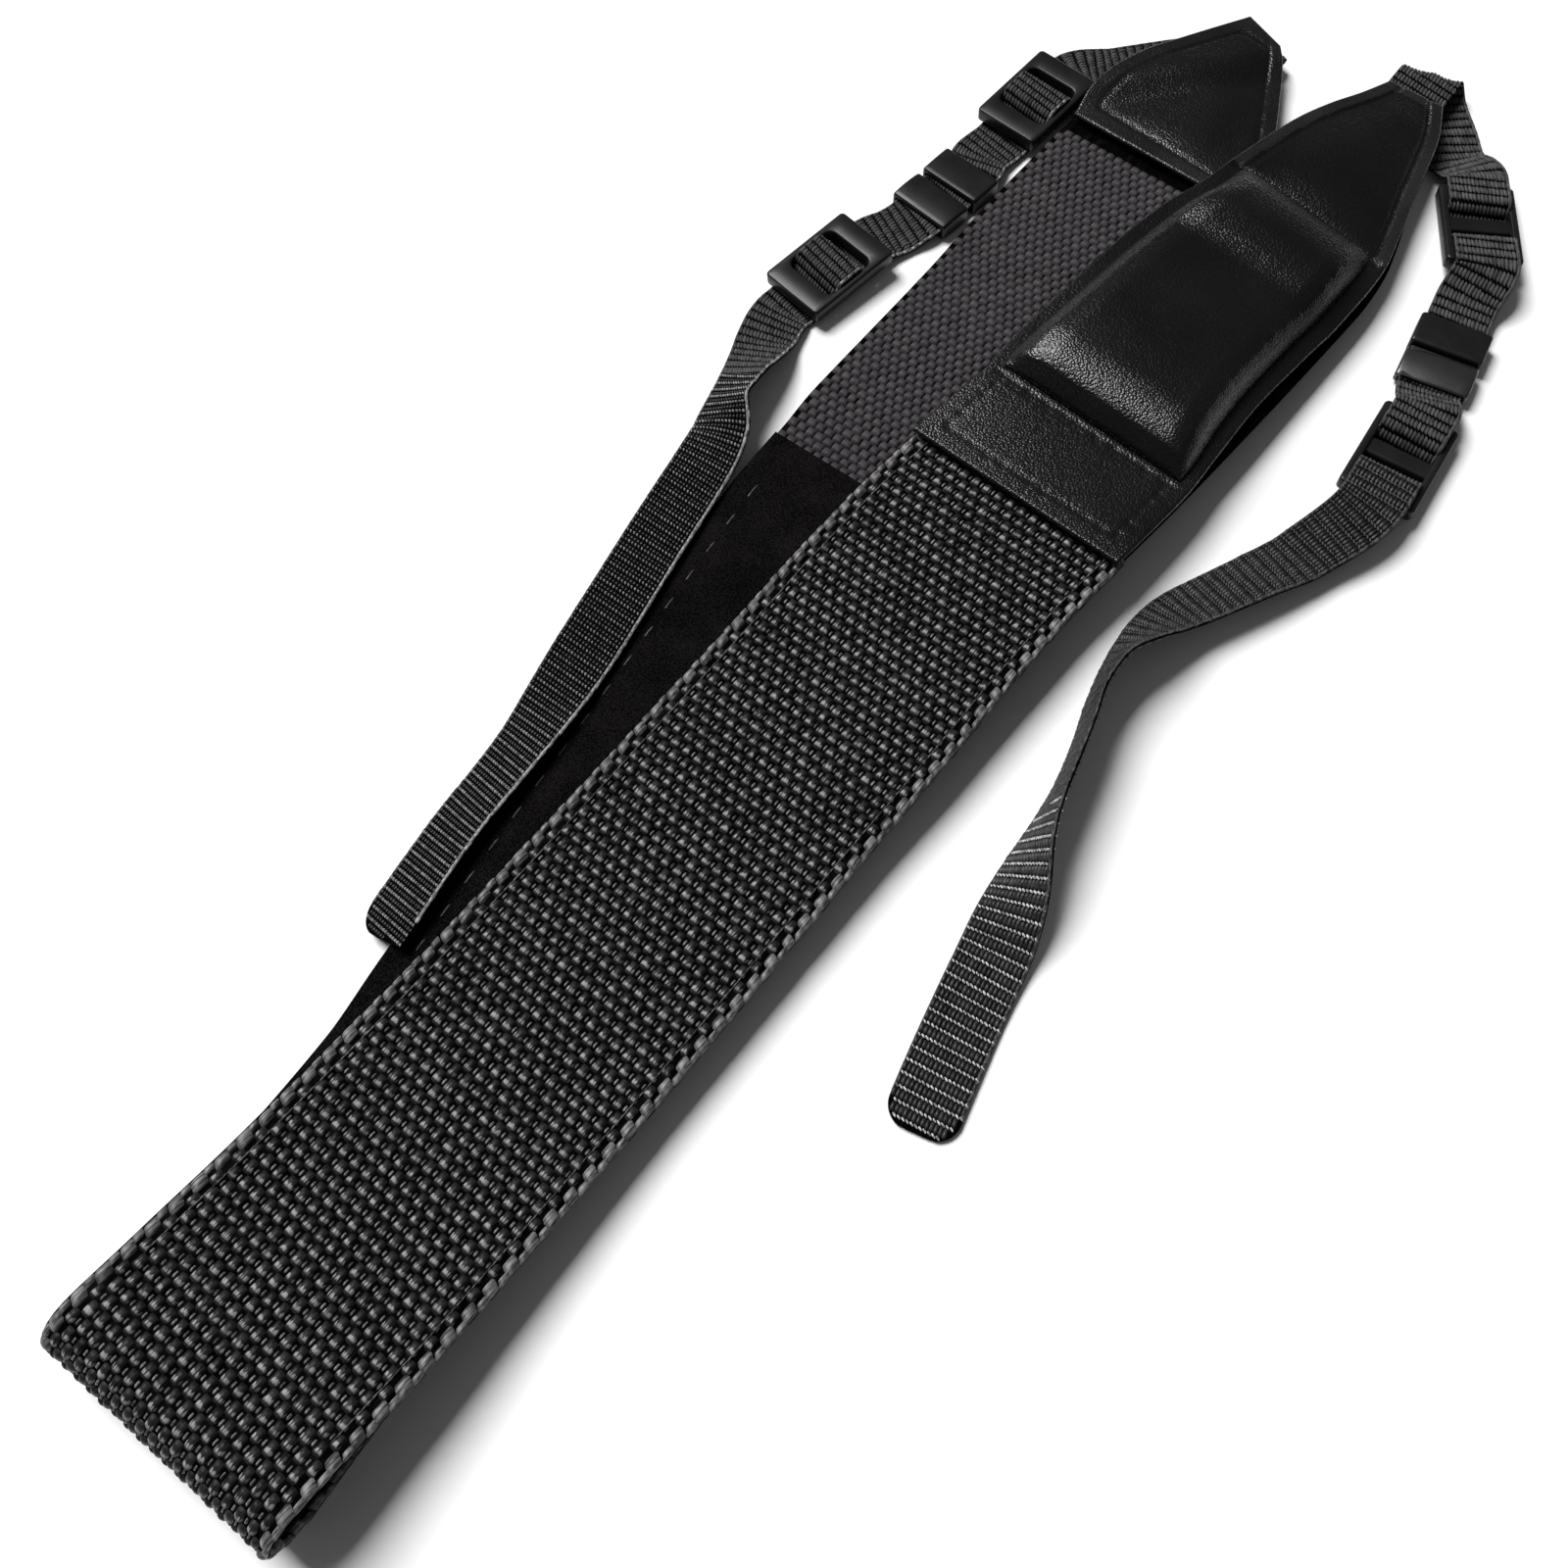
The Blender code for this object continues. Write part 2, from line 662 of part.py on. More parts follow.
def left_tail_height(x, y):
    """Middle of the left tail between the panels of the lower leather end."""
    return LEFT_EXIT["z_in"] - TAIL_LIFT + lift(x, y)


def right_tail_height(x, y):
    """Middle of the right tail between the panels of the upper leather end."""
    return upper_top(x, y) - TAIL_BELOW_TOP


def fold_under(exit_at, height):
    """Cross sections of a tail from inside its leather tip to past the fold under it."""
    heading = direction(exit_at["heading"])
    side = -left_of(heading)
    along = direction(exit_at["fold_angle"])
    across = left_of(along)
    start = np.array(exit_at["point"])
    corner = start + heading * exit_at["run"]
    radius = (exit_at["z_in"] - exit_at["z_out"]) / 2.0
    middle = (exit_at["z_in"] + exit_at["z_out"]) / 2.0
    half = TAIL_WIDTH / 2.0
    rows = []
    for back in TAIL_HELD:
        places = [start + heading * back + side * u for u in (-half, 0.0, half)]
        rows.append([laid((*place, height(*place))) for place in places])
    for angle in np.linspace(0.0, math.pi, TAIL_FOLD_SECTIONS):
        beyond = radius * angle
        row = []
        for u in (-half, 0.0, half):
            offset = float((corner - start + across * beyond) @ side)
            v = (u - offset) / float(along @ side)
            plan = corner + along * v + across * radius * math.sin(angle)
            follow = (1.0 + math.cos(angle)) / 2.0
            z = middle + radius * math.cos(angle) + follow * (height(*plan) - exit_at["z_in"])
            row.append(laid((*plan, z)))
        rows.append(row)
    slide = math.pi * radius * float(heading @ along) / float(heading @ across)
    after = 2.0 * float(heading @ along) * along - heading
    clear = half * abs(float(after @ along)) + TAIL_FOLD_CLEAR
    place = corner + along * slide + after * clear
    return rows, place, math.degrees(math.atan2(after[1], after[0]))


def free_middles(table):
    """Middles of a free end's cross sections, from its left edge and its roll."""
    edges = np.array(table, dtype=float)
    points = []
    for i, (x, y, z, roll) in enumerate(edges):
        heading = edges[min(i + 1, len(edges) - 1)][:2] - edges[max(i - 1, 0)][:2]
        side = left_of(heading / np.linalg.norm(heading))
        reach = TAIL_WIDTH / 2.0 * math.cos(math.radians(roll))
        rise = TAIL_WIDTH / 2.0 * math.sin(math.radians(roll))
        points.append(((*(np.array([x, y]) + side * reach), z + rise, roll), None))
    return points


def slider_points(slider, level):
    """Points that hold a tail straight through a slider, on the level of its end bars."""
    x, y, z, angle, pitch = slider
    points = []
    for along in SLIDER_KNOTS:
        place = np.array([x, y]) + direction(angle) * along
        height = z + level + along * math.tan(math.radians(pitch))
        if abs(along) <= BAR_KNOT:
            height -= math.copysign(WEAVE_DEPTH, level)
        points.append(((*place, height, 0.0), angle))
    return points


def keeper_points(keepers):
    points = []
    for x, y, z, angle in keepers:
        for along in KEEPER_KNOTS:
            place = np.array([x, y]) + direction(angle) * along
            points.append(((*place, z, 0.0), None))
    return points


def make_tail(name, exit_at, height, under_tip, sliders, keepers, between, free, level,
              tip_shares):
    rows, place, heading = fold_under(exit_at, height)
    points = [((*place, exit_at["z_out"], 0.0), heading)]
    points += [((*row, 0.0), None) for row in under_tip]
    points += slider_points(sliders[0], level)
    points += [((*between[0], 0.0), None)]
    points += keeper_points(keepers)
    points += [((*between[1], 0.0), None)]
    points += slider_points(sliders[1], level)
    points += free_middles(free)
    stations = route(points, TAIL_STEP)
    half = TAIL_WIDTH / 2.0
    for i, station in enumerate(stations):
        x, y, z, roll = station
        ahead = stations[min(i + 1, len(stations) - 1)][:2] - stations[max(i - 1, 0)][:2]
        side = left_of(ahead / np.linalg.norm(ahead))
        reach = math.cos(math.radians(roll))
        rise = math.sin(math.radians(roll))
        edges = (-half, 0.0, half)
        if i == len(stations) - 1:
            edges = (-half * tip_shares[0], 0.0, half * tip_shares[1])
        rows.append([laid((x + side[0] * u * reach, y + side[1] * u * reach, z + u * rise))
                     for u in edges])
    sheet(name, rows, TAIL_THICK, "tail_webbing")


# ---------------------------------------------------------------- sliders and keepers

def make_slider(name, x, y, z, angle, pitch):
    pose = (laid((x, y, z)), math.radians(angle), math.radians(pitch))
    frame = block(name, (SLIDER_LENGTH, SLIDER_WIDTH, SLIDER_THICK), *pose)
    window = SLIDER_BAR + 2.0 * SLIDER_SLOT
    opening = block(name + "_window", (window, SLIDER_SLOT_WIDTH, SLIDER_THICK * 2.0), *pose)
    bar_length = SLIDER_WIDTH - 2.0 * SLIDER_BAR_INSET
    bar = block(name + "_bar", (SLIDER_BAR, bar_length, SLIDER_BAR_THICK), *pose)
    combine(frame, as_cutter(opening), "DIFFERENCE")
    combine(frame, as_cutter(bar), "UNION")
    as_part(frame, "slider_plastic", SLIDER_ROUND)


def make_keeper(name, x, y, z, angle):
    place = laid((x, y, z))
    turn = math.radians(angle)
    sleeve = block(name, (KEEPER_LENGTH, KEEPER_WIDTH, KEEPER_HEIGHT), place, turn)
    slot = block(name + "_slot", (KEEPER_LENGTH * 2.0, KEEPER_SLOT_WIDTH, KEEPER_SLOT_HEIGHT),
                 place, turn)
    combine(sleeve, as_cutter(slot), "DIFFERENCE")
    as_part(sleeve, "slider_plastic", KEEPER_ROUND)


def make_hardware():
    for side, sliders, keepers in (("left", LEFT_SLIDERS, LEFT_KEEPERS),
                                   ("right", RIGHT_SLIDERS, RIGHT_KEEPERS)):
        for number, row in enumerate(sliders, 1):
            make_slider(f"{side}_slider_{number}", *row)
        for number, row in enumerate(keepers, 1):
            make_keeper(f"{side}_keeper_{number}", *row)


def clear_scene():
    for old in list(bpy.data.objects):
        bpy.data.objects.remove(old, do_unlink=True)
    for name in (COLLECTION, "cutters"):
        home = bpy.data.collections.new(name)
        bpy.context.scene.collection.children.link(home)


def main():
    clear_scene()
    make_band()
    make_lining()
    make_leather_a()
    make_pouch()
    make_leather_b()
    make_tail("left_tail", LEFT_EXIT, left_tail_height, LEFT_UNDER_TIP, LEFT_SLIDERS,
              LEFT_KEEPERS, LEFT_BETWEEN, LEFT_FREE, -END_BAR_LEVEL, LEFT_TIP_SHARES)
    make_tail("right_tail", RIGHT_EXIT, right_tail_height, RIGHT_UNDER_TIP, RIGHT_SLIDERS,
              RIGHT_KEEPERS, RIGHT_BETWEEN, RIGHT_FREE, END_BAR_LEVEL, RIGHT_TIP_SHARES)
    make_hardware()


main()
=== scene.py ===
"""Camera neck strap: the looks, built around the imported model.

The wide band, the lining, the leather ends and the narrow tails are each laid along the same
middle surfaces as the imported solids, and then get their yarns, seams, padding and grain.
Tables are in millimetres in the strap's own axes: +Y from the fold towards the leather tips,
+X towards the right tail, +Z up. laid() turns them into metres about the footprint's middle.
"""

from collections import namedtuple
import math

import bpy
import numpy as np
from mathutils import Matrix


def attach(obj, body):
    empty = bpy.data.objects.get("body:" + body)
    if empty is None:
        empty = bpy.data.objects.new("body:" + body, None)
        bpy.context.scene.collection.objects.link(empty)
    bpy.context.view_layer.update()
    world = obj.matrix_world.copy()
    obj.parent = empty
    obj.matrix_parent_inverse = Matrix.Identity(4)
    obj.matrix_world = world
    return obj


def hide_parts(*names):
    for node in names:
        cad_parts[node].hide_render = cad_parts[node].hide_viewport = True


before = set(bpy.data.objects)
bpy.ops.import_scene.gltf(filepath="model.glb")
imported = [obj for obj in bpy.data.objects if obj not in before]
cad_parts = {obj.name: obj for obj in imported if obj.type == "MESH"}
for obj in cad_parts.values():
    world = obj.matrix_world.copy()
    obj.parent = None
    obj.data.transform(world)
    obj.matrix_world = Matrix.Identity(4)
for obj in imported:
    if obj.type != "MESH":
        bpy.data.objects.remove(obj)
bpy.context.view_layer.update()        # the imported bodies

BODY = "root"
MM = 0.001
LAID_CENTRE = np.array([-5.9, 30.56, 0.0])
RANDOM = np.random.default_rng(7)

# ---------------------------------------------------------------- sizes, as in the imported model

BAND_WIDTH = 38.0
BAND_THICK = 1.8
GAP = 0.3                 # clearance between sewn layers
FOLD_POINT = np.array([0.0, -109.4])
FOLD_SLANT = 3.0          # degrees that the fold line is turned from +X
FOLD_RADIUS = 5.9         # to the middle of the band
LINING_THICK = 1.0
LINING_INSET = 0.5
LINING_END = 46.5         # Y of both cut ends
LEATHER_THICK = 1.0
LEATHER_START = 55.0      # Y where the outer panels begin
INNER_TIP_START = 128.6   # Y where the inner tip panels begin
TAIL_WIDTH = 10.2
LEATHER_B_INSET = 1.0     # from the band's edges to the hidden panel's
LEATHER_A_END = 166.9     # Y of the tips' ends
LEATHER_B_END = 165.5
TIP_LENGTH = 18.0         # over which the layers inside a tip grow thinner
THINNING_A = 0.5
THINNING_B = 0.6
PADDING_B = 0.45          # share of the padding on the lower tip
FALL_B = (0.45, -16.0, 8.0)  # least share of it, the X where it is reached, the width of its fall

# Upper run of the band: y, left edge, right edge, height of the top, roll (right side down)
UPPER_RUN = [
    (-100, -19, 19, 12.3, 0), (-90, -19, 19, 10.9, 0), (-80, -19.2, 18.8, 9.6, 0),
    (-68, -19.5, 18.5, 8.3, 0), (-48, -19.9, 18.1, 6.9, 0), (-24, -20.3, 17.7, 6.6, 0),
    (0, -20.7, 17.3, 6.9, 0), (14, -20.7, 17.3, 7.7, 0), (28, -21, 17, 8.2, 0),
    (42, -21, 17, 8.4, 0), (55, -20.3, 17.7, 8.4, 0), (70, -19.5, 18.5, 8.2, 2),
    (85, -19, 19, 7.8, 3), (100, -18.6, 19.3, 7.4, 5), (112, -17.2, 19.5, 7.1, 6),
    (122, -14.6, 19.6, 6.9, 7), (130, -12.9, 18.9, 6.7, 8), (138, -11.6, 16.9, 6.5, 8),
    (146, -9.8, 14.3, 6.4, 8), (156, -6, 11.5, 6, 8), (168, -2.4, 7.2, 5.6, 8),
]
UPPER_BAND_END = 146.0

# How the top of the band falls away from the fold: distance from the fold line, height
FOLD_APPROACH = [(0, 13.6), (4, 13.1), (9, 12.3), (18, 10.9)]

# Middle of the band's lower run: x, y
LOWER_RUN = [
    (-4.2, -66.5), (-6.9, -51.7), (-14, -6), (-20, 33), (-21, 44), (-21.5, 56), (-22.4, 88),
    (-23.4, 104), (-23.8, 130), (-24.6, 146),
]
LOWER_RISE = (46.5, 55.0)  # Y where the lower run climbs onto its outer leather panel
# Trimmed end of the lower run: y, width left of the middle, width right of the middle
LOWER_TRIM = [(125, 19.0, 19.0), (133, 18.5, 17.5), (139, 17.6, 14.8), (146, 15.4, 11.5)]

# Outline of the upper leather end: left x, left y, right x, right y
LEATHER_A = [
    (-20.4, 55, 17.9, 55), (-19.4, 64, 18.4, 64), (-18.6, 72, 18.7, 72), (-18.8, 81, 18.2, 81),
    (-18.1, 94, 17.6, 94), (-17.4, 106, 18.1, 106), (-16, 116, 18.7, 116), (-13.9, 124, 18.7, 123),
    (-12.8, 131, 18.3, 130), (-11.4, 139, 16.4, 138.5), (-9.6, 147, 14.2, 146.5),
    (-7.4, 153.5, 12.4, 154), (-4.8, 159.5, 10.6, 160.5), (-2.5, 165.8, 7, 168),
]

# Outline of the lower leather end's tip: left x, left y, right x, right y
LEATHER_B_TIP = [
    (-42.2, 128.6, -4.6, 128.6), (-43.2, 135, -6.6, 133), (-42.8, 140, -9.2, 140),
    (-41, 146.6, -12.6, 147), (-37.8, 153.4, -16, 153.6), (-34.3, 160.4, -19.4, 159.6),
    (-31, 166.4, -22.6, 163.4),
]

# Pouch on the upper leather end: y, height above the leather, inset from the leather's edges
POUCH = [
    (73, 0.6, 2.2), (75.2, 3.6, 2), (77.6, 5.1, 2), (85, 5.2, 2.4), (100, 4.6, 2.6),
    (110.5, 3.8, 2.8), (115.5, 4.6, 2.8), (119, 4.9, 2.8), (125, 4, 2.8), (130, 1.2, 2.8),
]
# Length and height of the front ridge's rounding
POUCH_FRONT = 9.5
POUCH_RIDGE = 4.8
# Cross section of the pouch: share of its width, share of its height
POUCH_SECTION = [(0.0, 0.12), (0.045, 0.55), (0.11, 0.88), (0.22, 1.0), (0.5, 1.0),
                 (0.84, 1.0), (0.92, 0.9), (0.97, 0.6), (1.0, 0.12)]

# Padding of the leather tips: y, rise of the middle above the edges
TIP_PADDING = [(131, 0.0), (136, 1.0), (146, 1.3), (158, 0.7), (165, 0.0)]

# The left tail lifts the lower leather where it passes under it
TAIL_LIFT = 1.6
LIFT_LINE_POINT = (-23.3, 164.2)
LIFT_LINE_ANGLE = 50.7    # degrees from +X
LIFT_REACH = (1.5, 8.5)   # distances from the line where the lift begins to fall and ends

# Tails: where each leaves its leather tip, folds under it, and is threaded
EXITS = {
    "left": {"point": (-26.0, 165.5), "heading": 87.7, "run": -1.0, "fold_angle": -21.3,
             "z_in": 3.4, "z_out": 0.5},
    "right": {"point": (1.9, 166.5), "heading": 93.0, "run": 7.0, "fold_angle": 23.0,
              "z_in": 5.0, "z_out": 1.1},
}
RIGHT_TAIL_DEPTH = 0.7    # its middle below the band's top, inside the leather tip
TAIL_FOLD_CLEAR = 1.5     # straight run of a tail past its fold
TAIL_HELD = (-7.0, -5.0, -3.5, -2.0)

# Hardware: x, y, height of the middle, heading of the webbing in degrees from +X, and how
# many degrees a slider rises along it
SLIDERS = {"left": [(-49.8, 128.2, 3.1, -92.0, -2.0), (-54.3, 76.2, 3.0, -96.5, -2.5)],
           "right": [(24.9, 151.5, 2.3, -57.0, 5.0), (38.9, 102.4, 2.4, -83.0, 1.0)]}
KEEPERS = {"left": [(-49.6, 106.0, 1.7, -93.0), (-50.1, 98.3, 1.7, -94.5)],
           "right": [(33.45, 127.8, 1.7, -77.5), (34.95, 121.05, 1.7, -77.5)]}
SLIDER_LENGTH = 18.0
SLIDER_WIDTH = 12.4
SLIDER_THICK = 2.4
SLIDER_BAR = 3.2
SLIDER_BAR_THICK = 1.4
SLIDER_SLOT = 3.4
SLIDER_WINDOW_WIDTH = 9.9  # a little under the webbing, whose edges it hides
WEAVE_DEPTH = 3.5         # how far the webbing moves between end bar and cross bar
# Height of the webbing's middle above the frame's, at the end bars
END_BAR_LEVELS = {"left": -2.0, "right": 2.0}
BAR_KNOT = 2.1            # reach of the webbing's level stretch at the cross bar
SLIDER_KNOTS = (-9.9, -4.5, -BAR_KNOT, BAR_KNOT, 4.5, 9.9)
SLIDER_BAR_INSET = 0.25   # from the frame's sides to the cross bar's ends
KEEPER_LENGTH = 6.4
KEEPER_WIDTH = 11.8
KEEPER_HEIGHT = 3.4
KEEPER_SLOT_WIDTH = 10.8
KEEPER_SLOT_HEIGHT = 1.8
KEEPER_KNOTS = (-3.4, 3.4)

# Tails between their hardware: x, y, height, of the webbing's middle
UNDER_TIP = {"left": [(-35.8, 155.9, 0.56), (-44.2, 145.9, 0.56)],
             "right": [(9.8, 168.2, 1.0), (14.0, 163.8, 1.1)]}
BETWEEN = {"left": [(-50.4, 113.2, 1.3), (-51.6, 91.0, 0.9)],
           "right": [(31.4, 136.8, 2.2), (36.4, 115.6, 2.6)]}

# Free ends of the tails: left edge x, y, z, and roll (right edge raised) in degrees
LEFT_FREE = [
    (-59.8, 61.4, 1, 2), (-58.5, 57.3, 0.7, 6), (-56.8, 53.5, 0.6, 19), (-55.4, 50, 0.6, 31),
    (-54.2, 46.6, 0.6, 37), (-52.6, 42, 1.2, 39), (-50.8, 37.2, 2.2, 16), (-49.1, 31.6, 3.1, 5),
    (-47.2, 23.6, 3.4, 3), (-45.4, 15.8, 3.4, 4), (-42.9, 5.4, 3.4, 4), (-40.4, -5.4, 3.2, 5),
    (-38.8, -12.6, 2.3, 13), (-37.3, -19.7, 1.2, 23), (-36.4, -26.4, 0.7, 27),
    (-35.2, -36.8, 0.6, 28), (-31.9, -55.2, 0.6, 26),
]
RIGHT_FREE = [
    (32.3, 80.5, 1, 14), (29.3, 72.5, 0.7, 22), (26.3, 65.2, 0.6, 26), (24.2, 59.8, 0.6, 29),
    (23.3, 54.6, 0.6, 38), (23.5, 49.8, 0.6, 52), (24.6, 44, 0.6, 71), (26.4, 37.6, 0.6, 80),
    (28.6, 31.4, 0.6, 81), (30.5, 24.5, 0.6, 80), (31.4, 18.6, 0.6, 75), (31.8, 12.8, 0.6, 62),
    (32.6, 4.2, 0.6, 28), (34, -2.6, 0.6, 6), (35.6, -9.4, 0.6, 0), (37.9, -18.4, 0.6, 0),
    (40.8, -28.9, 0.6, 0),
]
FREE_ENDS = {"left": LEFT_FREE, "right": RIGHT_FREE}

# ---------------------------------------------------------------- sizes of what is added here

# Yarn crowns: length and width, height of the foot, height above the foot, count of faces along
# and across, how far a crown leans along the strip over its width, how blunt its ends are, and
# how much the crowns differ
Crown = namedtuple("Crown", "size base rise cells slant power spread", defaults=(0.0, 2.4, 0.05))

END_REACH = 5.5           # close sections towards a strip's cut end, and their count
END_SECTIONS = 24
BAND_GROUND = 0.6         # thickness of the dark core that the band's yarns stand on
BAND_COLUMNS = 30         # of the outer face's middle, between its selvedges
BAND_SELVEDGE = 3.1       # from the band's edge to the first of them
BAND_ROW = 1.8            # pitch of the staggered rows of crowns
BACK_COLUMNS = 42         # the same on the band's inner face
BACK_SELVEDGE = 0.9
BACK_ROW = 1.44
BAND_CROWN = Crown((2.26, 1.38), 0.0, 0.72, (7, 6), power=3.6)
BAND_DASH = Crown((1.05, 0.34), 0.2, 0.35, (3, 3))
BACK_CROWN = Crown((1.6, 1.66), 0.25, 0.62, (5, 6), power=3.0, spread=0.04)
# The selvedges' rope-like lines, each with its distance from the band's edge
EDGE_BULB = Crown((2.45, 1.6), 0.0, 0.86, (7, 6), 0.5, 2.6)
EDGE_BETWEEN = Crown((2.0, 0.92), 0.0, 0.62, (6, 5), 0.4, 2.6)
EDGE_SECOND = Crown((2.2, 1.3), 0.0, 0.76, (6, 5), power=3.0)
EDGE_BINDER = Crown((1.5, 0.15), 0.3, 0.5, (3, 3))
BULB_INSET = 0.95
BETWEEN_INSET = 0.52
SECOND_INSET = 2.05
BINDER_INSET = 2.66
BINDER_PITCH = 0.9
BINDER_END = -100.0       # Y where the binder line ends, before the fold
COARSER_FROM = -105.0     # Y past the fold from which the outer crowns have fewer faces
WEAVE_UNDER_A = 4.0       # how far the weave runs on under what hides its ends
WEAVE_UNDER_B = 2.0
WEAVE_UNDER_LINING = 2.0
WEAVE_TIP_GAP = 0.6       # from the inner weave to the inner tip panel
STITCH_PITCH = 5.7        # of the lining's stitches, and how far in from its edges they run
STITCH_INSET = 3.6
STITCH_START = -100.0     # Y past the fold where they begin
STITCH = Crown((2.3, 0.26), LINING_THICK / 2.0 - 0.04, 0.16, (5, 3), 0.3)

BORDER_A = 2.6            # flat borders of the padded tips, outside their seams
BORDER_B = 3.2
SHEEN_LESS = 0.4         # how much narrower than the border the painted sheen on it is
SHEEN_A_START = 131.0    # Y where the painted sheen on the upper tip's border begins
PANEL_ROUND = 0.35        # radius of a panel's edges
PANEL_ENDS = (0.12, 0.4)  # distances of a panel's extra rows from its ends
# Grooves: where, half width, depth. Gathers: pitch, half width, depth
SEAM_A = (3.4, 0.3, 0.12)
TIP_SEAM_A = (BORDER_A, 0.45, 0.3)
TIP_SEAM_START = (130.0, 4.0)  # Y where it begins to sink in, and over what length
TIP_FOLD = (130.4, 0.9, 0.5)
TIP_FOLD_INSET = 1.0      # the fold keeps this far in from the panel's sides
SEAM_B = (BORDER_B, 0.4, 0.2)
FLAP_END = (71.0, 1.5)    # Y where the flap's seam begins to fade, and over what length
FLAP_CREASES = [(71.7, 0.25, 0.25), (70.7, 0.2, 0.12)]
FLAP_INSET = 1.5          # the creases keep this far in from the panel's sides
GATHERS_A = (2.6, 0.9, 0.035)
GATHERS_A_AT = 3.2        # where these gathers run, as for those below
GATHERS_B = (2.8, 0.9, 0.02)
GATHERS_FLAP = (3.1, 0.8, 0.04)
GATHERS_FLAP_AT = 71.3
GATHERS_POUCH = (3.4, 0.9, 0.045)
GATHERS_POUCH_AT = 2.0
GATHERS_HOLLOW = (3.9, 1.8, 0.01)
GATHERS_HOLLOW_AT = 113.0
# Rows of the pouch: up to which Y, and their pitch. Its columns: from and to which share, count
POUCH_ROWS = [(79.0, 0.25), (110.0, 0.6), (119.0, 0.4), (POUCH[-1][0], 0.6)]
POUCH_COLUMNS = [(0.0, 0.12, 14), (0.12, 0.88, 60), (0.88, 1.0, 14)]
POUCH_FOOT = 0.4          # height at which the front ridge's rounding begins
POUCH_LEAST = 0.05        # least height of the pouch above its base

TAIL_GROUND = 0.4
TAIL_COLUMNS = 16
TAIL_PITCH = TAIL_WIDTH / TAIL_COLUMNS
TAIL_ROW = {"left": 1.57, "right": 1.87}
TAIL_WARP = {"left": 0.011, "right": 0.035}  # lightest tone of the yarns between the rows
TAIL_BRIGHT_AND_HIGHLIT = {"left": 0.32, "right": 0.6}   # lightest tone of the rows: a lighter yarn, and on the right tail's end a painted highlight on their crests
# How much further along a rib is at the tail's right edge than at its left one, near the
# hardware and past it
TAIL_SKEW = {"left": (0.9, 2.0), "right": (0.6, 0.8)}
# Ribs along each tail before its sparser face begins, and before that face's rows that carry a painted
# highlight on their crests
TAIL_CHANGE = {"left": (92, 92), "right": (63, 107)}
TAIL_RIBS = {side: Crown((row, 1.04 * TAIL_PITCH), 0.0, 0.5, (4, 3), 0.4, 2.6)
             for side, row in TAIL_ROW.items()}
TAIL_WARPS = {"left": Crown((0.6 * TAIL_ROW["left"], 0.8 * TAIL_PITCH), 0.02, 0.26, (3, 3)),
              "right": Crown((0.84 * TAIL_ROW["right"], 0.96 * TAIL_PITCH), 0.06, 0.42, (4, 3))}
TAIL_NUBS = {"left": Crown((0.55, 0.5 * TAIL_PITCH), 0.1, 0.42, (3, 3), 0.12),
             "right": Crown((0.42, 0.98 * TAIL_PITCH), 0.12, 0.4, (2, 3), 0.3)}
TAIL_MARGIN = 0.35        # from a round cut to the nearest crowns
TAIL_END = 0.5            # bare end of a tail
LAST_CROWN = 0.4          # nearest that a crown's middle comes to a tail's end
# A tail's selvedges: distance from its left edge, and width; then what they share
SELVEDGES = {"left": (0.12, 0.34), "right": (TAIL_WIDTH - 0.26, 0.56)}
SELVEDGE_LENGTH = 1.7
SELVEDGE_RISE = 0.44
SELVEDGE_CELLS = (3, 4)
SELVEDGE_PITCH = 0.8
SELVEDGE_SHORT = 4.0      # how far before the tail's last rows they end

SLIDER_CORNER = 0.7       # radii of the frame's, the window's and the cross bar's corners
WINDOW_CORNER = 1.5
BAR_CORNER = 0.5
KEEPER_CORNER = 0.5
KEEPER_SLOT_CORNER = 0.4
# Each keeper's dome, camber and lean, as make_keeper says
KEEPER_SHAPES = {"left": [(0.1, 0.0, 0.0), (0.3, 0.0, 0.0)],
                 "right": [(0.1, 0.0, 0.0), (0.5, 0.12, 0.45)]}
MOULDING_ROUND = 0.3      # radius of the mouldings' edges
MOULDING_BEVEL = 0.3      # share of that radius, at the point halfway round them
SHARP_ANGLE = 50.0        # degrees from which a moulding's edge is shaded sharp
TIP_RADIUS = {"left": 4.5, "right": 3.6}  # of the round cut at each free end

CORE_LOOK = {"dark": 0.001, "light": 0.004, "filaments": 3.0, "roughness": 0.9, "gloss": 0.0}
LEATHER_DARK = (0.0016, 0.0016, 0.002)
LEATHER_LIGHT = (0.006, 0.0055, 0.006)
SATIN_GLOSS = 0.26
POLISHED_GLOSS = 1.0

FLOOR_REACH = 900.0       # half the floor's side, millimetres
WORLD_STRENGTH = 0.1
KEY_PLACE = np.array([-1.8, 0.1, 2.7])  # metres, as is its size; its power is in watts
KEY_SIZE = 1.5
KEY_POWER = 152.0
CAMERA_PLACE = (60.5, -63.6, 200.6)     # strap millimetres
CAMERA_AXES = [(0.763538, 0.645240, -0.026), (-0.583588, 0.706700, 0.400),
               (0.276470, -0.290242, 0.916146)]
CAMERA_LENS = 34.6725
SENSOR_WIDTH = 36.0
CLIP_START = 0.005


# ---------------------------------------------------------------- tables and curves

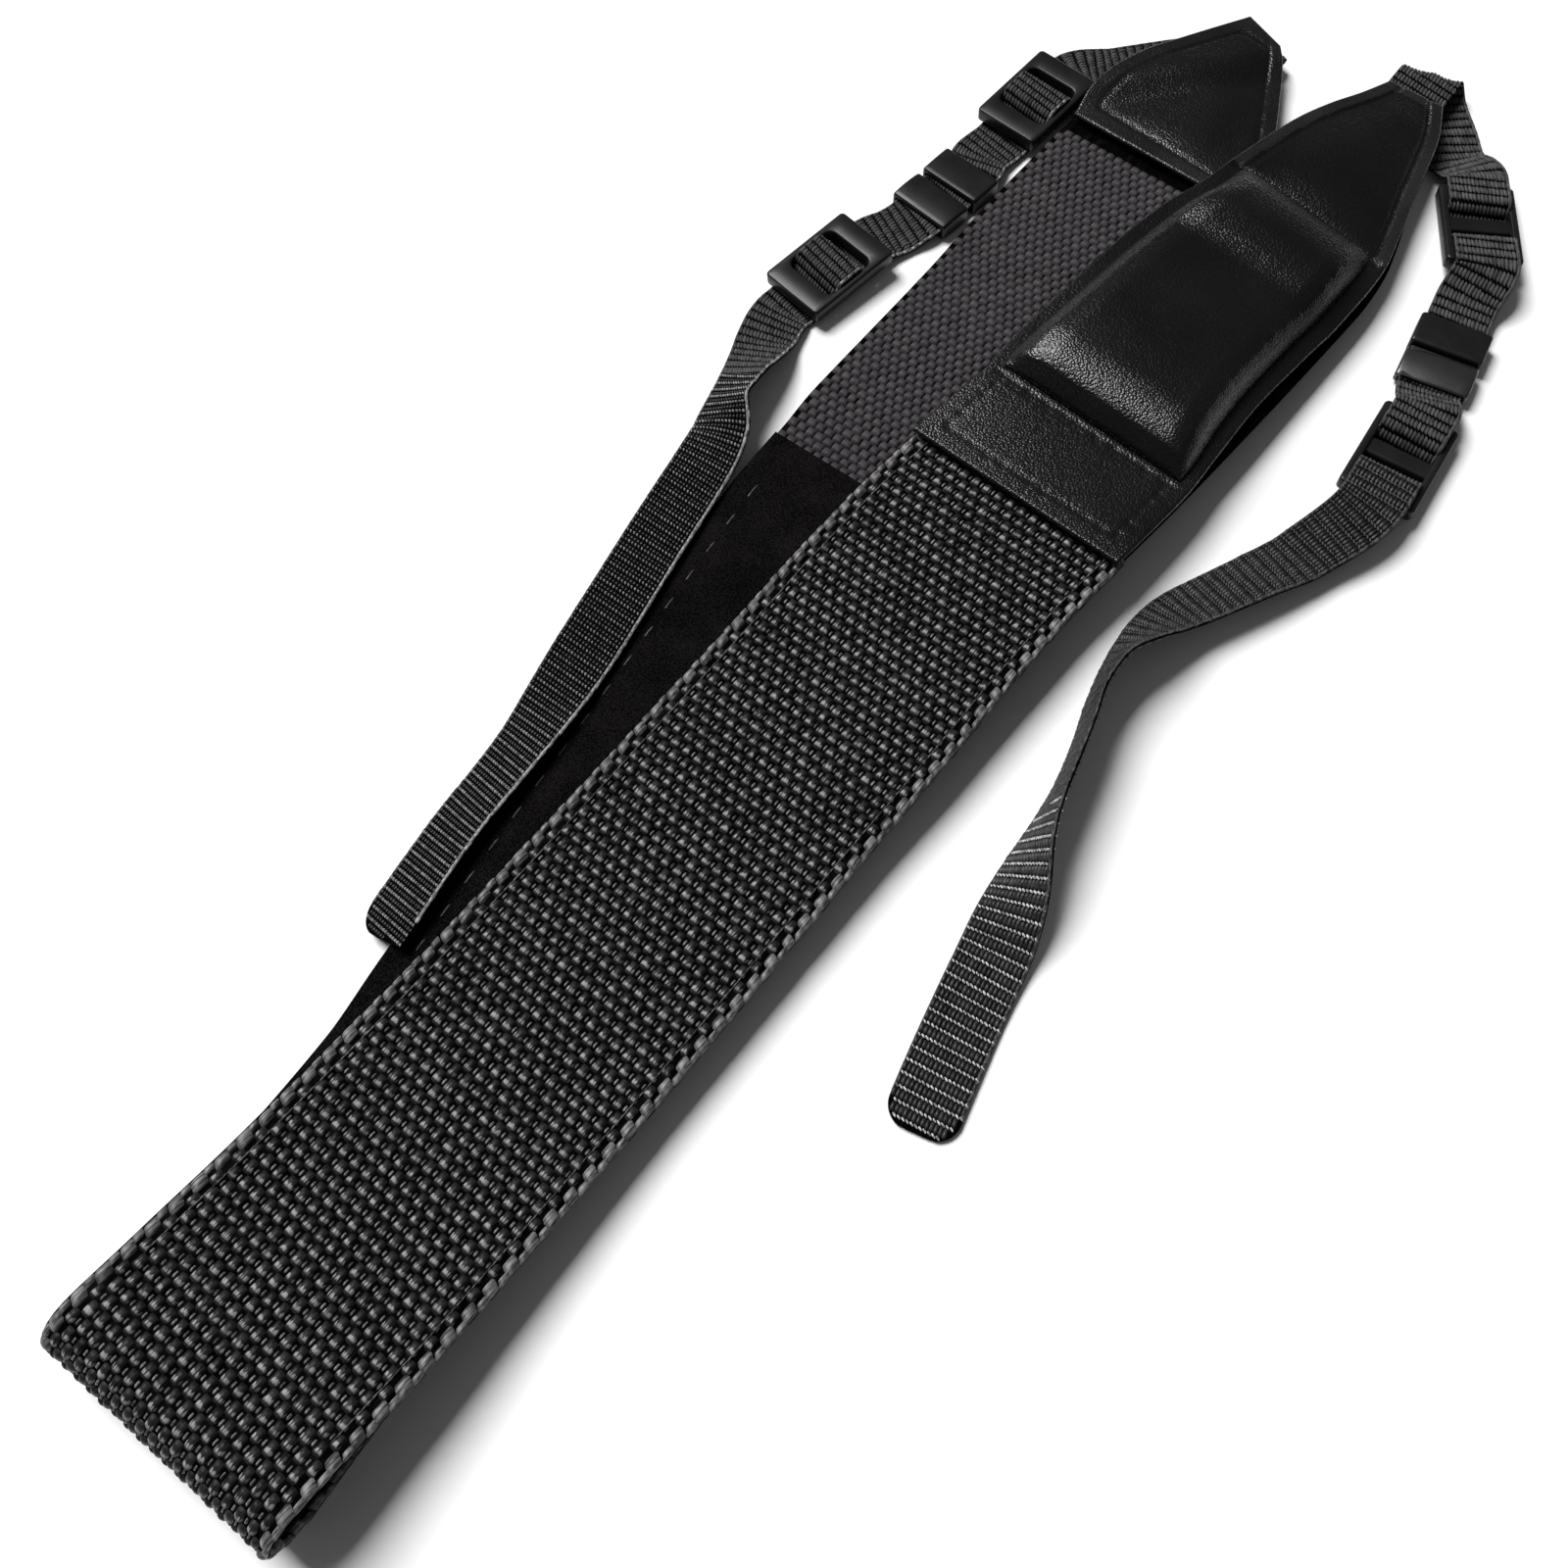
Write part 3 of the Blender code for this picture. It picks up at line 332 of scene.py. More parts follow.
def read(table, index, x):
    """Smooth values of one column at x, where the first column is ascending."""
    xs = np.array([row[0] for row in table], dtype=float)
    ys = np.array([row[index] for row in table], dtype=float)
    steps = np.diff(ys) / np.diff(xs)
    product = steps[:-1] * steps[1:]
    total = np.where(product > 0.0, steps[:-1] + steps[1:], 1.0)
    tangents = np.concatenate(([steps[0]], np.maximum(product, 0.0) * 2.0 / total, [steps[-1]]))
    x = np.clip(x, xs[0], xs[-1])
    i = np.clip(np.searchsorted(xs, x) - 1, 0, len(xs) - 2)
    width = xs[i + 1] - xs[i]
    t = (x - xs[i]) / width
    return ((2 * t**3 - 3 * t**2 + 1) * ys[i] + (t**3 - 2 * t**2 + t) * width * tangents[i]
            + (3 * t**2 - 2 * t**3) * ys[i + 1] + (t**3 - t**2) * width * tangents[i + 1])


def ease(share):
    share = np.clip(share, 0.0, 1.0)
    return share * share * (3.0 - 2.0 * share)


def direction(degrees):
    return np.array([math.cos(math.radians(degrees)), math.sin(math.radians(degrees))])


def left_of(vector):
    return np.array([-vector[1], vector[0]])


def left_at(places, i):
    """Direction to the left of a path, at one of its places."""
    ahead = places[min(i + 1, len(places) - 1)][:2] - places[max(i - 1, 0)][:2]
    return left_of(ahead / np.linalg.norm(ahead))


def unit(vectors):
    return vectors / np.linalg.norm(vectors, axis=-1, keepdims=True)


def laid(points):
    return (np.asarray(points, dtype=float) - LAID_CENTRE) * MM


def route(points, step):
    """Stations along a smooth curve through (values, heading or None); x and y come first."""
    values = [np.array(p[0], dtype=float) for p in points]
    chords = [np.linalg.norm(b[:2] - a[:2]) for a, b in zip(values[:-1], values[1:])]
    tangents = []
    for i, (value, heading) in enumerate(points):
        before = values[max(i - 1, 0)]
        after = values[min(i + 1, len(values) - 1)]
        tangent = (after - before) / sum(chords[max(i - 1, 0):min(i + 1, len(chords))])
        if heading is not None:
            tangent[:2] = direction(heading)
            tangent[2:] = 0.0
        tangents.append(tangent)
    stations = []
    for i, chord in enumerate(chords):
        for t in np.arange(max(1, round(chord / step))) / max(1, round(chord / step)):
            stations.append((2 * t**3 - 3 * t**2 + 1) * values[i]
                            + (t**3 - 2 * t**2 + t) * chord * tangents[i]
                            + (3 * t**2 - 2 * t**3) * values[i + 1]
                            + (t**3 - t**2) * chord * tangents[i + 1])
    stations.append(values[-1])
    return np.array(stations)


class Strip:
    """A long strip's middle surface: rows of places across it, at distances along it."""

    STEP = 0.25

    def __init__(self, rows, distances):
        rows = np.asarray(rows, dtype=float)
        self.length = float(np.min(distances[-1]))
        count = int(self.length / self.STEP) + 1
        along = np.arange(count) * self.STEP
        columns = rows.shape[1]
        self.points = np.empty((count, columns, 3))
        for j in range(columns):
            for axis in range(3):
                self.points[:, j, axis] = np.interp(along, distances[:, j], rows[:, j, axis])
        ahead = np.gradient(self.points, axis=0)
        across = np.gradient(self.points, axis=1)
        self.normals = unit(np.cross(ahead, across))
        middle = self.normals[:, columns // 2][:, None]
        agrees = (self.normals * middle).sum(axis=2, keepdims=True) > 0.0
        self.normals = np.where(agrees, self.normals, middle)
        self.width = np.linalg.norm(np.diff(self.points, axis=1), axis=2).sum(axis=1)

    def place(self, distance, share, height):
        """Places at a distance along, a share of the width across and a height above."""
        distance, share, height = np.broadcast_arrays(distance, share, height)
        row = np.clip(distance / self.STEP, 0.0, len(self.points) - 1.001)
        column = share * (self.points.shape[1] - 1)
        i = row.astype(int)
        j = np.clip(np.floor(column).astype(int), 0, self.points.shape[1] - 2)
        a = (row - i)[..., None]
        b = (column - j)[..., None]

        def mixed(grid):
            return ((grid[i, j] * (1 - a) + grid[i + 1, j] * a) * (1 - b)
                    + (grid[i, j + 1] * (1 - a) + grid[i + 1, j + 1] * a) * b)

        return mixed(self.points) + unit(mixed(self.normals)) * height[..., None]


# ---------------------------------------------------------------- making meshes

def in_scene(name, data):
    made = bpy.data.objects.new(name, data)
    bpy.context.scene.collection.objects.link(made)
    return made


def shown(mesh, slot, material, *replaced):
    """Puts a mesh in the scene as a piece of the strap, under the mesh's name."""
    made = in_scene(mesh.name, mesh)
    mesh.materials.append(material)
    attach(made, BODY)
    if replaced:
        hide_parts(*replaced)
    return made


def mesh_from(name, points, faces, **marks):
    """Smooth-shaded mesh, whose marks are kept as attributes that the materials read."""
    mesh = bpy.data.meshes.new(name)
    mesh.from_pydata(laid(points).tolist(), [], faces.tolist())
    for key, values in marks.items():
        layer = mesh.attributes.new(key, "FLOAT_VECTOR", "POINT")
        layer.data.foreach_set("vector", np.ascontiguousarray(values, dtype=np.float32).ravel())
    mesh.shade_smooth()
    return mesh


def grid_faces(rows, columns, closed_rows=False, closed_columns=False):
    """Quads of a grid of points that are numbered row by row."""
    i, j = np.meshgrid(np.arange(rows - (not closed_rows)),
                       np.arange(columns - (not closed_columns)), indexing="ij")
    k = (i + 1) % rows
    m = (j + 1) % columns
    quads = np.stack([i * columns + j, i * columns + m, k * columns + m, k * columns + j], axis=-1)
    return quads.reshape(-1, 4)


def patches(name, grids, **marks):
    """One mesh of many like patches: grids has the shape patches, rows, columns, 3."""
    count, rows, columns = grids.shape[:3]
    faces = grid_faces(rows, columns)[None] + (np.arange(count) * rows * columns)[:, None, None]
    marks = {key: values.reshape(-1, 3) for key, values in marks.items()}
    return mesh_from(name, grids.reshape(-1, 3), faces.reshape(-1, 4), **marks)


def slab(name, top, bottom, marks=None):
    """Closed body between two grids of places of the same shape."""
    rows, columns = top.shape[:2]
    top_faces = grid_faces(rows, columns)
    size = rows * columns
    rim = np.concatenate([np.arange(columns), np.arange(1, rows) * columns + columns - 1,
                          np.arange(columns - 2, -1, -1) + (rows - 1) * columns,
                          np.arange(rows - 2, 0, -1) * columns])
    after = np.roll(rim, -1)
    sides = np.stack([rim + size, after + size, after, rim], axis=-1)
    faces = np.concatenate([top_faces, top_faces[:, ::-1] + size, sides])
    points = np.concatenate([top.reshape(-1, 3), bottom.reshape(-1, 3)])
    if marks is None:
        return mesh_from(name, points, faces)
    return mesh_from(name, points, faces, strip=np.concatenate([marks.reshape(-1, 3)] * 2))


def layer(name, x, y, low, high, marks=None):
    """Closed body over a plan, between two heights."""
    return slab(name, np.stack([x, y, high], axis=-1), np.stack([x, y, low], axis=-1), marks)


def strip_slab(name, strip, thickness, step, columns, limits=None):
    """Closed sheet of even thickness along a strip."""
    end = strip.length - END_REACH
    distance = np.concatenate((np.linspace(0.0, end, int(end / step) + 1),
                               np.linspace(end, strip.length, END_SECTIONS)[1:]))[:, None]
    share = np.linspace(0.0, 1.0, columns)[None, :]
    if limits is not None:
        low, high = limits(distance)
        share = low + (high - low) * share
    grid = np.broadcast_arrays(distance, share)
    marks = np.stack([grid[1] * TAIL_WIDTH, grid[0], grid[0] * 0.0 + 0.5], axis=-1)
    top = strip.place(distance, share, thickness / 2.0)
    bottom = strip.place(distance, share, -thickness / 2.0)
    return slab(name, top, bottom, marks)


def crowns(name, strip, centres, crown, face=1.0):
    """Rounded yarn crowns on a strip, or on its other face where face is -1.0.

    centres has a row for each crown: distance along, distance across from the left edge.
    """
    size, base, rise, cells, slant, power, spread = crown
    count = len(centres)
    p = np.linspace(-1.0, 1.0, cells[0] + 1)[None, :, None]
    turn = np.linspace(math.pi, 0.0, cells[1] + 1)[None, None, :] * face
    scale = 1.0 + spread * RANDOM.standard_normal((count, 3))[:, :, None, None]
    arch = np.sqrt(np.clip(1.0 - np.abs(p) ** power, 0.0, 1.0))
    waist = 0.85 + 0.15 * arch
    across = np.cos(turn) * size[1] / 2.0 * waist * scale[:, 1]
    along = p * size[0] / 2.0 * scale[:, 0] + slant * across / size[1]
    height = base + rise * arch * (0.25 + 0.75 * np.abs(np.sin(turn))) * scale[:, 2]
    height = height * face
    distance = centres[:, 0, None, None] + along
    shift = centres[:, 1, None, None] + across
    width = strip.width.mean()
    distance, shift, height = np.broadcast_arrays(distance, shift, height)
    tone = np.broadcast_to(RANDOM.random(count)[:, None, None], distance.shape)
    along, across = np.broadcast_arrays(p, np.cos(turn) + 0.0 * scale[:, 0])
    return patches(name, strip.place(distance, shift / width, height),
                   strip=np.stack([shift, distance, tone], axis=-1),
                   crown=np.stack([along + 0.0 * across, across, 0.0 * across], axis=-1))


# ---------------------------------------------------------------- the strap's middle surfaces

def upper_top(x, y):
    middle = (read(UPPER_RUN, 1, y) + read(UPPER_RUN, 2, y)) / 2.0
    return read(UPPER_RUN, 3, y) + (middle - x) * np.tan(np.radians(read(UPPER_RUN, 4, y)))


def lift(x, y):
    along = direction(LIFT_LINE_ANGLE)
    away = (x - LIFT_LINE_POINT[0]) * along[1] - (y - LIFT_LINE_POINT[1]) * along[0]
    near, far = LIFT_REACH
    return TAIL_LIFT * (1.0 - ease((away - near) / (far - near)))


def lower_base(x, y):
    start, end = LOWER_RISE
    return (LEATHER_THICK + GAP) * ease((y - start) / (end - start)) + lift(x, y)


def folded(u, y, offset):
    """Place of a point of the flat strip where it goes round the fold."""
    along = direction(FOLD_SLANT)
    across = -left_of(along)
    point = np.array([u, y]) - FOLD_POINT
    beyond = float(point @ across)
    line = FOLD_POINT + float(point @ along) * along
    if beyond <= 0.0:
        plan = line + beyond * across
        return (*plan, read(FOLD_APPROACH, 1, -beyond) - BAND_THICK / 2.0 - offset)
    angle = min(beyond / FOLD_RADIUS, math.pi)
    radius = FOLD_RADIUS - offset
    past = max(beyond - math.pi * FOLD_RADIUS, 0.0)
    plan = line + (radius * math.sin(angle) - past) * across
    return (*plan, FOLD_RADIUS + BAND_THICK / 2.0 + radius * math.cos(angle))


def lower_middle(step):
    start = -FOLD_RADIUS * math.pi - 4.0 + FOLD_POINT[1]
    points = [(folded(0.0, start, 0.0)[:2], 90.0 + 2.0 * FOLD_SLANT)]
    points += [(row, None) for row in LOWER_RUN]
    return route(points, step)


def smoothed(rows, times):
    rows = np.array(rows)
    for _ in range(times):
        rows[1:-1] = (rows[:-2] + 2.0 * rows[1:-1] + rows[2:]) / 4.0
    return rows


def band_strip(offset, inset, upper_end, lower_end):
    """The folded band, or a layer of it, from its upper end to its lower end."""
    shares = np.linspace(0.0, 1.0, 9)
    rows = []
    for y in np.arange(upper_end, UPPER_RUN[0][0], -1.0):
        left = read(UPPER_RUN, 1, y) + inset
        right = read(UPPER_RUN, 2, y) - inset
        x = left + (right - left) * shares
        height = upper_top(x, y) - BAND_THICK / 2.0 - offset
        rows.append(np.stack([x, np.full_like(x, y), height], axis=-1))
    half = BAND_WIDTH / 2.0 - inset
    fold_end = FOLD_POINT[1] - math.pi * FOLD_RADIUS - 2.5
    for y in np.arange(UPPER_RUN[0][0] - 1.0, fold_end, -1.0):
        rows.append(np.array([folded(half * (2.0 * s - 1.0), y, offset) for s in shares]))
    stations = lower_middle(1.0)
    for i in range(2, len(stations) - 1):
        if stations[i][1] > lower_end:
            break
        side = -left_at(stations, i)
        left = read(LOWER_TRIM, 1, stations[i][1])
        right = read(LOWER_TRIM, 2, stations[i][1])
        reach = -left + inset + (left + right - 2.0 * inset) * shares
        x = stations[i][0] + side[0] * reach
        y = stations[i][1] + side[1] * reach
        rows.append(np.stack([x, y, lower_base(x, y) + BAND_THICK / 2.0 + offset], axis=-1))
    rows = smoothed(rows, 3)
    middle = rows[:, 4]
    steps = np.linalg.norm(np.diff(middle, axis=0), axis=1)
    distances = np.concatenate(([0.0], np.cumsum(steps)))
    return Strip(rows, np.repeat(distances[:, None], len(shares), axis=1))


def tail_height(side, x, y):
    """Height of a tail's middle inside its leather tip."""
    if side == "left":
        return EXITS[side]["z_in"] - TAIL_LIFT + lift(x, y)
    return upper_top(x, y) - RIGHT_TAIL_DEPTH


def fold_under(tail):
    """Cross sections of a tail from inside its leather tip to past the fold under it."""
    exit_at = EXITS[tail]
    heading = direction(exit_at["heading"])
    side = -left_of(heading)
    along = direction(exit_at["fold_angle"])
    across = left_of(along)
    start = np.array(exit_at["point"])
    corner = start + heading * exit_at["run"]
    radius = (exit_at["z_in"] - exit_at["z_out"]) / 2.0
    middle = (exit_at["z_in"] + exit_at["z_out"]) / 2.0
    half = TAIL_WIDTH / 2.0
    rows = []
    for back in TAIL_HELD:
        places = [start + heading * back + side * u for u in (-half, 0.0, half)]
        rows.append([(*place, tail_height(tail, *place)) for place in places])
    for angle in np.linspace(0.0, math.pi, 17):
        beyond = radius * angle
        row = []
        for u in (-half, 0.0, half):
            offset = float((corner - start + across * beyond) @ side)
            v = (u - offset) / float(along @ side)
            plan = corner + along * v + across * radius * math.sin(angle)
            follow = (1.0 + math.cos(angle)) / 2.0
            z = (middle + radius * math.cos(angle)
                 + follow * (tail_height(tail, *plan) - exit_at["z_in"]))
            row.append((*plan, z))
        rows.append(row)
    slide = math.pi * radius * float(heading @ along) / float(heading @ across)
    after = 2.0 * float(heading @ along) * along - heading
    clear = half * abs(float(after @ along)) + TAIL_FOLD_CLEAR
    place = corner + along * slide + after * clear
    return rows, place, math.degrees(math.atan2(after[1], after[0]))


def slider_points(slider, level):
    x, y, z, angle, pitch = slider
    points = []
    for along in SLIDER_KNOTS:
        place = np.array([x, y]) + direction(angle) * along
        height = z + level + along * math.tan(math.radians(pitch))
        if abs(along) <= BAR_KNOT:
            height -= math.copysign(WEAVE_DEPTH, level)
        points.append(((*place, height, 0.0), angle))
    return points


def keeper_points(keepers):
    points = []
    for x, y, z, angle in keepers:
        for along in KEEPER_KNOTS:
            points.append(((*(np.array([x, y]) + direction(angle) * along), z, 0.0), None))
    return points


def free_middles(table):
    edges = np.array(table, dtype=float)
    points = []
    for i, (x, y, z, roll) in enumerate(edges):
        side = left_at(edges, i)
        reach = TAIL_WIDTH / 2.0 * math.cos(math.radians(roll))
        rise = TAIL_WIDTH / 2.0 * math.sin(math.radians(roll))
        points.append(((*(np.array([x, y]) + side * reach), z + rise, roll), None))
    return points


def tail_strip(side):
    """A tail's middle surface, whose columns each keep their own length round the fold."""
    rows, place, heading = fold_under(side)
    first = len(rows)
    level = END_BAR_LEVELS[side]
    points = [((*place, EXITS[side]["z_out"], 0.0), heading)]
    points += [((*row, 0.0), None) for row in UNDER_TIP[side]]
    points += slider_points(SLIDERS[side][0], level)
    points += [((*BETWEEN[side][0], 0.0), None)]
    points += keeper_points(KEEPERS[side])
    points += [((*BETWEEN[side][1], 0.0), None)]
    points += slider_points(SLIDERS[side][1], level)
    points += free_middles(FREE_ENDS[side])
    stations = route(points, 0.5)
    half = TAIL_WIDTH / 2.0
    for i, (x, y, z, roll) in enumerate(stations):
        left = left_at(stations, i)
        reach = math.cos(math.radians(roll))
        rise = math.sin(math.radians(roll))
        rows.append([(x + left[0] * u * reach, y + left[1] * u * reach, z + u * rise)
                     for u in (-half, 0.0, half)])
    rows = np.array(rows)
    steps = np.linalg.norm(np.diff(rows, axis=0), axis=2)
    distances = np.concatenate((np.zeros((1, 3)), np.cumsum(steps, axis=0)))
    held = distances[first].mean()
    distances[:first + 1] *= held / distances[first]
    past = np.concatenate(([0.0], np.cumsum(steps[first:, 1])))
    distances[first:] = (held + past)[:, None]
    return Strip(rows, distances)


# ---------------------------------------------------------------- materials

def add(tree, kind, settings=None, **inputs):
    """A shader node with its settings, and its inputs as values or as other nodes' outputs.

    Inputs are given by name, or as i and their number.
    """
    node = tree.nodes.new("ShaderNode" + kind)
    for key, value in (settings or {}).items():
        setattr(node, key, value)
    for key, value in inputs.items():
        numbered = key[0] == "i" and key[1:].isdigit()
        socket = node.inputs[int(key[1:]) if numbered else key.replace("_", " ")]
        if isinstance(value, bpy.types.NodeSocket):
            tree.links.new(value, socket)
        else:
            socket.default_value = value
    return node


def scaled_sum(tree, terms):
    """Sum of sockets, each times its share."""
    total = 0.0
    for socket, share in terms:
        total = add(tree, "Math", {"operation": "MULTIPLY_ADD"}, i0=socket, i1=share,
                    i2=total).outputs[0]
    return total


def ramp(tree, factor, stops):
    node = add(tree, "ValToRGB", Fac=factor)
    band = node.color_ramp
    while len(band.elements) < len(stops):
        band.elements.new(0.5)
    for element, (place, grey) in zip(band.elements, stops):
        element.position = place
        colour = grey if hasattr(grey, "__len__") else (grey, grey, grey)
        element.color = (*colour, 1.0)
    return node.outputs["Color"]


def noise(tree, vector, scale, detail=2.0, **more):
    return add(tree, "TexNoise", Vector=vector, Scale=scale, Detail=detail, **more).outputs["Fac"]


def calculated(tree, operation, *values):
    inputs = {f"i{k}": value for k, value in enumerate(values)}
    return add(tree, "Math", {"operation": operation}, **inputs).outputs[0]


def own_place(tree):
    return add(tree, "TexCoord").outputs["Object"]


def new_material(name, **sockets):
    made = bpy.data.materials.new(name)
    made.use_nodes = True
    tree = made.node_tree
    for key, value in sockets.items():
        tree.nodes["Principled BSDF"].inputs[key.replace("_", " ")].default_value = value
    return made, tree


def surface(made, colour, uneven=None, rough=(0.0, 0.0), **relief):
    """Links a colour, and a roughness and a relief where they are given, to a material."""
    tree = made.node_tree
    inputs = tree.nodes["Principled BSDF"].inputs
    tree.links.new(colour, inputs["Base Color"])
    if uneven is not None:
        ranged = add(tree, "MapRange", Value=uneven, To_Min=rough[0], To_Max=rough[1])
        tree.links.new(ranged.outputs["Result"], inputs["Roughness"])
    if relief:
        tree.links.new(add(tree, "Bump", **relief).outputs["Normal"], inputs["Normal"])
    return made


def yarn_material(name, dark, light, filaments=9.0, roughness=0.45, highlight_share=0.35, tone=0.15,
                  lit_end=1.0, gloss=0.35, body=0.2):
    """Multi-filament yarn: fine lines along each crown, each crown a little different.

    highlight_share is the share of a painted highlight, a lighter band across each crown, past its
    middle along the strip where lit_end is 1.0 and before it where that is -1.0. body is how far
    the rest of a crown is from dark to light.
    """
    made, tree = new_material(name, Specular_IOR_Level=gloss)
    strip = add(tree, "Attribute", {"attribute_name": "strip"}).outputs["Vector"]
    crown = add(tree, "Attribute", {"attribute_name": "crown"}).outputs["Vector"]
    each = add(tree, "SeparateXYZ", Vector=strip).outputs["Z"]
    place = add(tree, "SeparateXYZ", Vector=crown).outputs["X"]
    lines = add(tree, "Mapping", Vector=strip, Scale=(filaments, filaments / 12.0, 30.0))
    fine = noise(tree, lines.outputs["Vector"], 1.0, 1.0)
    threads = add(tree, "MapRange", Value=fine, From_Min=0.3, From_Max=0.6,
                  To_Min=0.2).outputs["Result"]
    ragged = scaled_sum(tree, [(place, 1.0), (fine, 0.8)])
    aside = calculated(tree, "SUBTRACT", ragged, 0.4 + 0.3 * lit_end)
    lit = add(tree, "MapRange", {"interpolation_type": "SMOOTHSTEP"},
              Value=calculated(tree, "ABSOLUTE", aside), From_Min=0.38, From_Max=0.08)
    # painted highlight: a lighter band across each crown, at the end that lit_end sets
    painted_glint = calculated(tree, "MULTIPLY", lit.outputs["Result"], threads)
    mix = scaled_sum(tree, [(threads, 1.0 - highlight_share - tone), (each, tone), (painted_glint, highlight_share)])
    half_lit = tuple((1.0 - body) * np.ones(3) * dark + body * np.ones(3) * light)
    return surface(made, ramp(tree, mix, [(0.05, dark), (0.4, half_lit), (0.85, light)]),
                   fine, (roughness - 0.12, roughness + 0.15),
                   Height=fine, Strength=0.6, Distance=0.00012)


def leather_material(name, dark, light, grain=2800.0, roughness=0.25):
    """Black leather: fine pebbled grain, faint creases, uneven gloss, a painted sheen on a margin.

    The margin is the flat border outside a seam, where a sheen is painted from the mark's first value.
    """
    made, tree = new_material(name, Specular_IOR_Level=0.38)
    place = own_place(tree)
    mark = add(tree, "Attribute", {"attribute_name": "strip"}).outputs["Vector"]
    # the mark's first value: where a sheen is painted on a flat border
    margin = add(tree, "SeparateXYZ", Vector=mark).outputs["X"]
    cells = add(tree, "TexVoronoi", Vector=place, Scale=grain).outputs["Distance"]
    fine = noise(tree, place, grain * 1.4)
    broad = noise(tree, place, 70.0, 4.0)
    crease = noise(tree, place, 320.0, 5.0, Distortion=0.6)
    tone = scaled_sum(tree, [(broad, 0.75), (cells, 0.2), (margin, 0.5)])
    return surface(made, ramp(tree, tone, [(0.3, dark), (0.75, light), (1.0, [3.0 * c for c in light])]),
                   scaled_sum(tree, [(broad, 0.5), (cells, 0.5)]), (roughness - 0.08, roughness + 0.08),
                   Height=scaled_sum(tree, [(cells, -1.0), (fine, 0.1), (crease, 0.3)]),
                   Strength=0.5, Distance=0.00016)


def suede_material():
    """Short black nap, with specks rather than blotches."""
    made, tree = new_material("lining_suede_nap", Roughness=0.95, Specular_IOR_Level=0.03)
    place = own_place(tree)
    nap = noise(tree, place, 3800.0)
    mix = scaled_sum(tree, [(nap, 0.85), (noise(tree, place, 150.0, 3.0), 0.3)])
    colour = ramp(tree, mix, [(0.45, (0.0005, 0.0005, 0.0006)), (0.78, (0.011, 0.0095, 0.0095))])
    return surface(made, colour, Height=nap, Strength=0.8, Distance=0.0002)


def plastic_material(name, gloss):
    """Dark moulded plastic, a little brownish and scuffed."""
    made, tree = new_material(name, Specular_IOR_Level=gloss)
    place = own_place(tree)
    broad = noise(tree, place, 180.0, 4.0)
    colour = ramp(tree, broad, [(0.3, (0.005, 0.005, 0.0055)), (0.8, (0.012, 0.0105, 0.010))])
    return surface(made, colour, broad, (0.28, 0.42),
                   Height=noise(tree, place, 2600.0), Strength=0.15, Distance=0.00008)


# ---------------------------------------------------------------- the woven band

def reached(strip, y, lower=False):
    """Distance along the folded band where its middle passes a Y."""
    ys = strip.points[:, strip.points.shape[1] // 2, 1]
    turn = int(np.argmin(ys))
    if lower:
        return (turn + int(np.searchsorted(ys[turn:], y))) * Strip.STEP
    return int(np.searchsorted(-ys[:turn], -y)) * Strip.STEP


def staggered(start, end, odd, margin, columns, row_pitch):
    """Places of every second crown of a plain weave; odd takes the ones between."""
    across = np.linspace(margin, BAND_WIDTH - margin, columns + 1)
    return np.array([(row * row_pitch, across[column])
                     for row in range(math.ceil(start / row_pitch), int(end / row_pitch))
                     for column in range(columns + 1) if (row + column + odd) % 2 == 0])


def mirrored(rows, inset, width=BAND_WIDTH):
    """Places in two lines, as far in from the left edge and from the right one."""
    return np.concatenate([np.stack([rows, np.full_like(rows, x)], axis=-1)
                           for x in (inset, width - inset)])


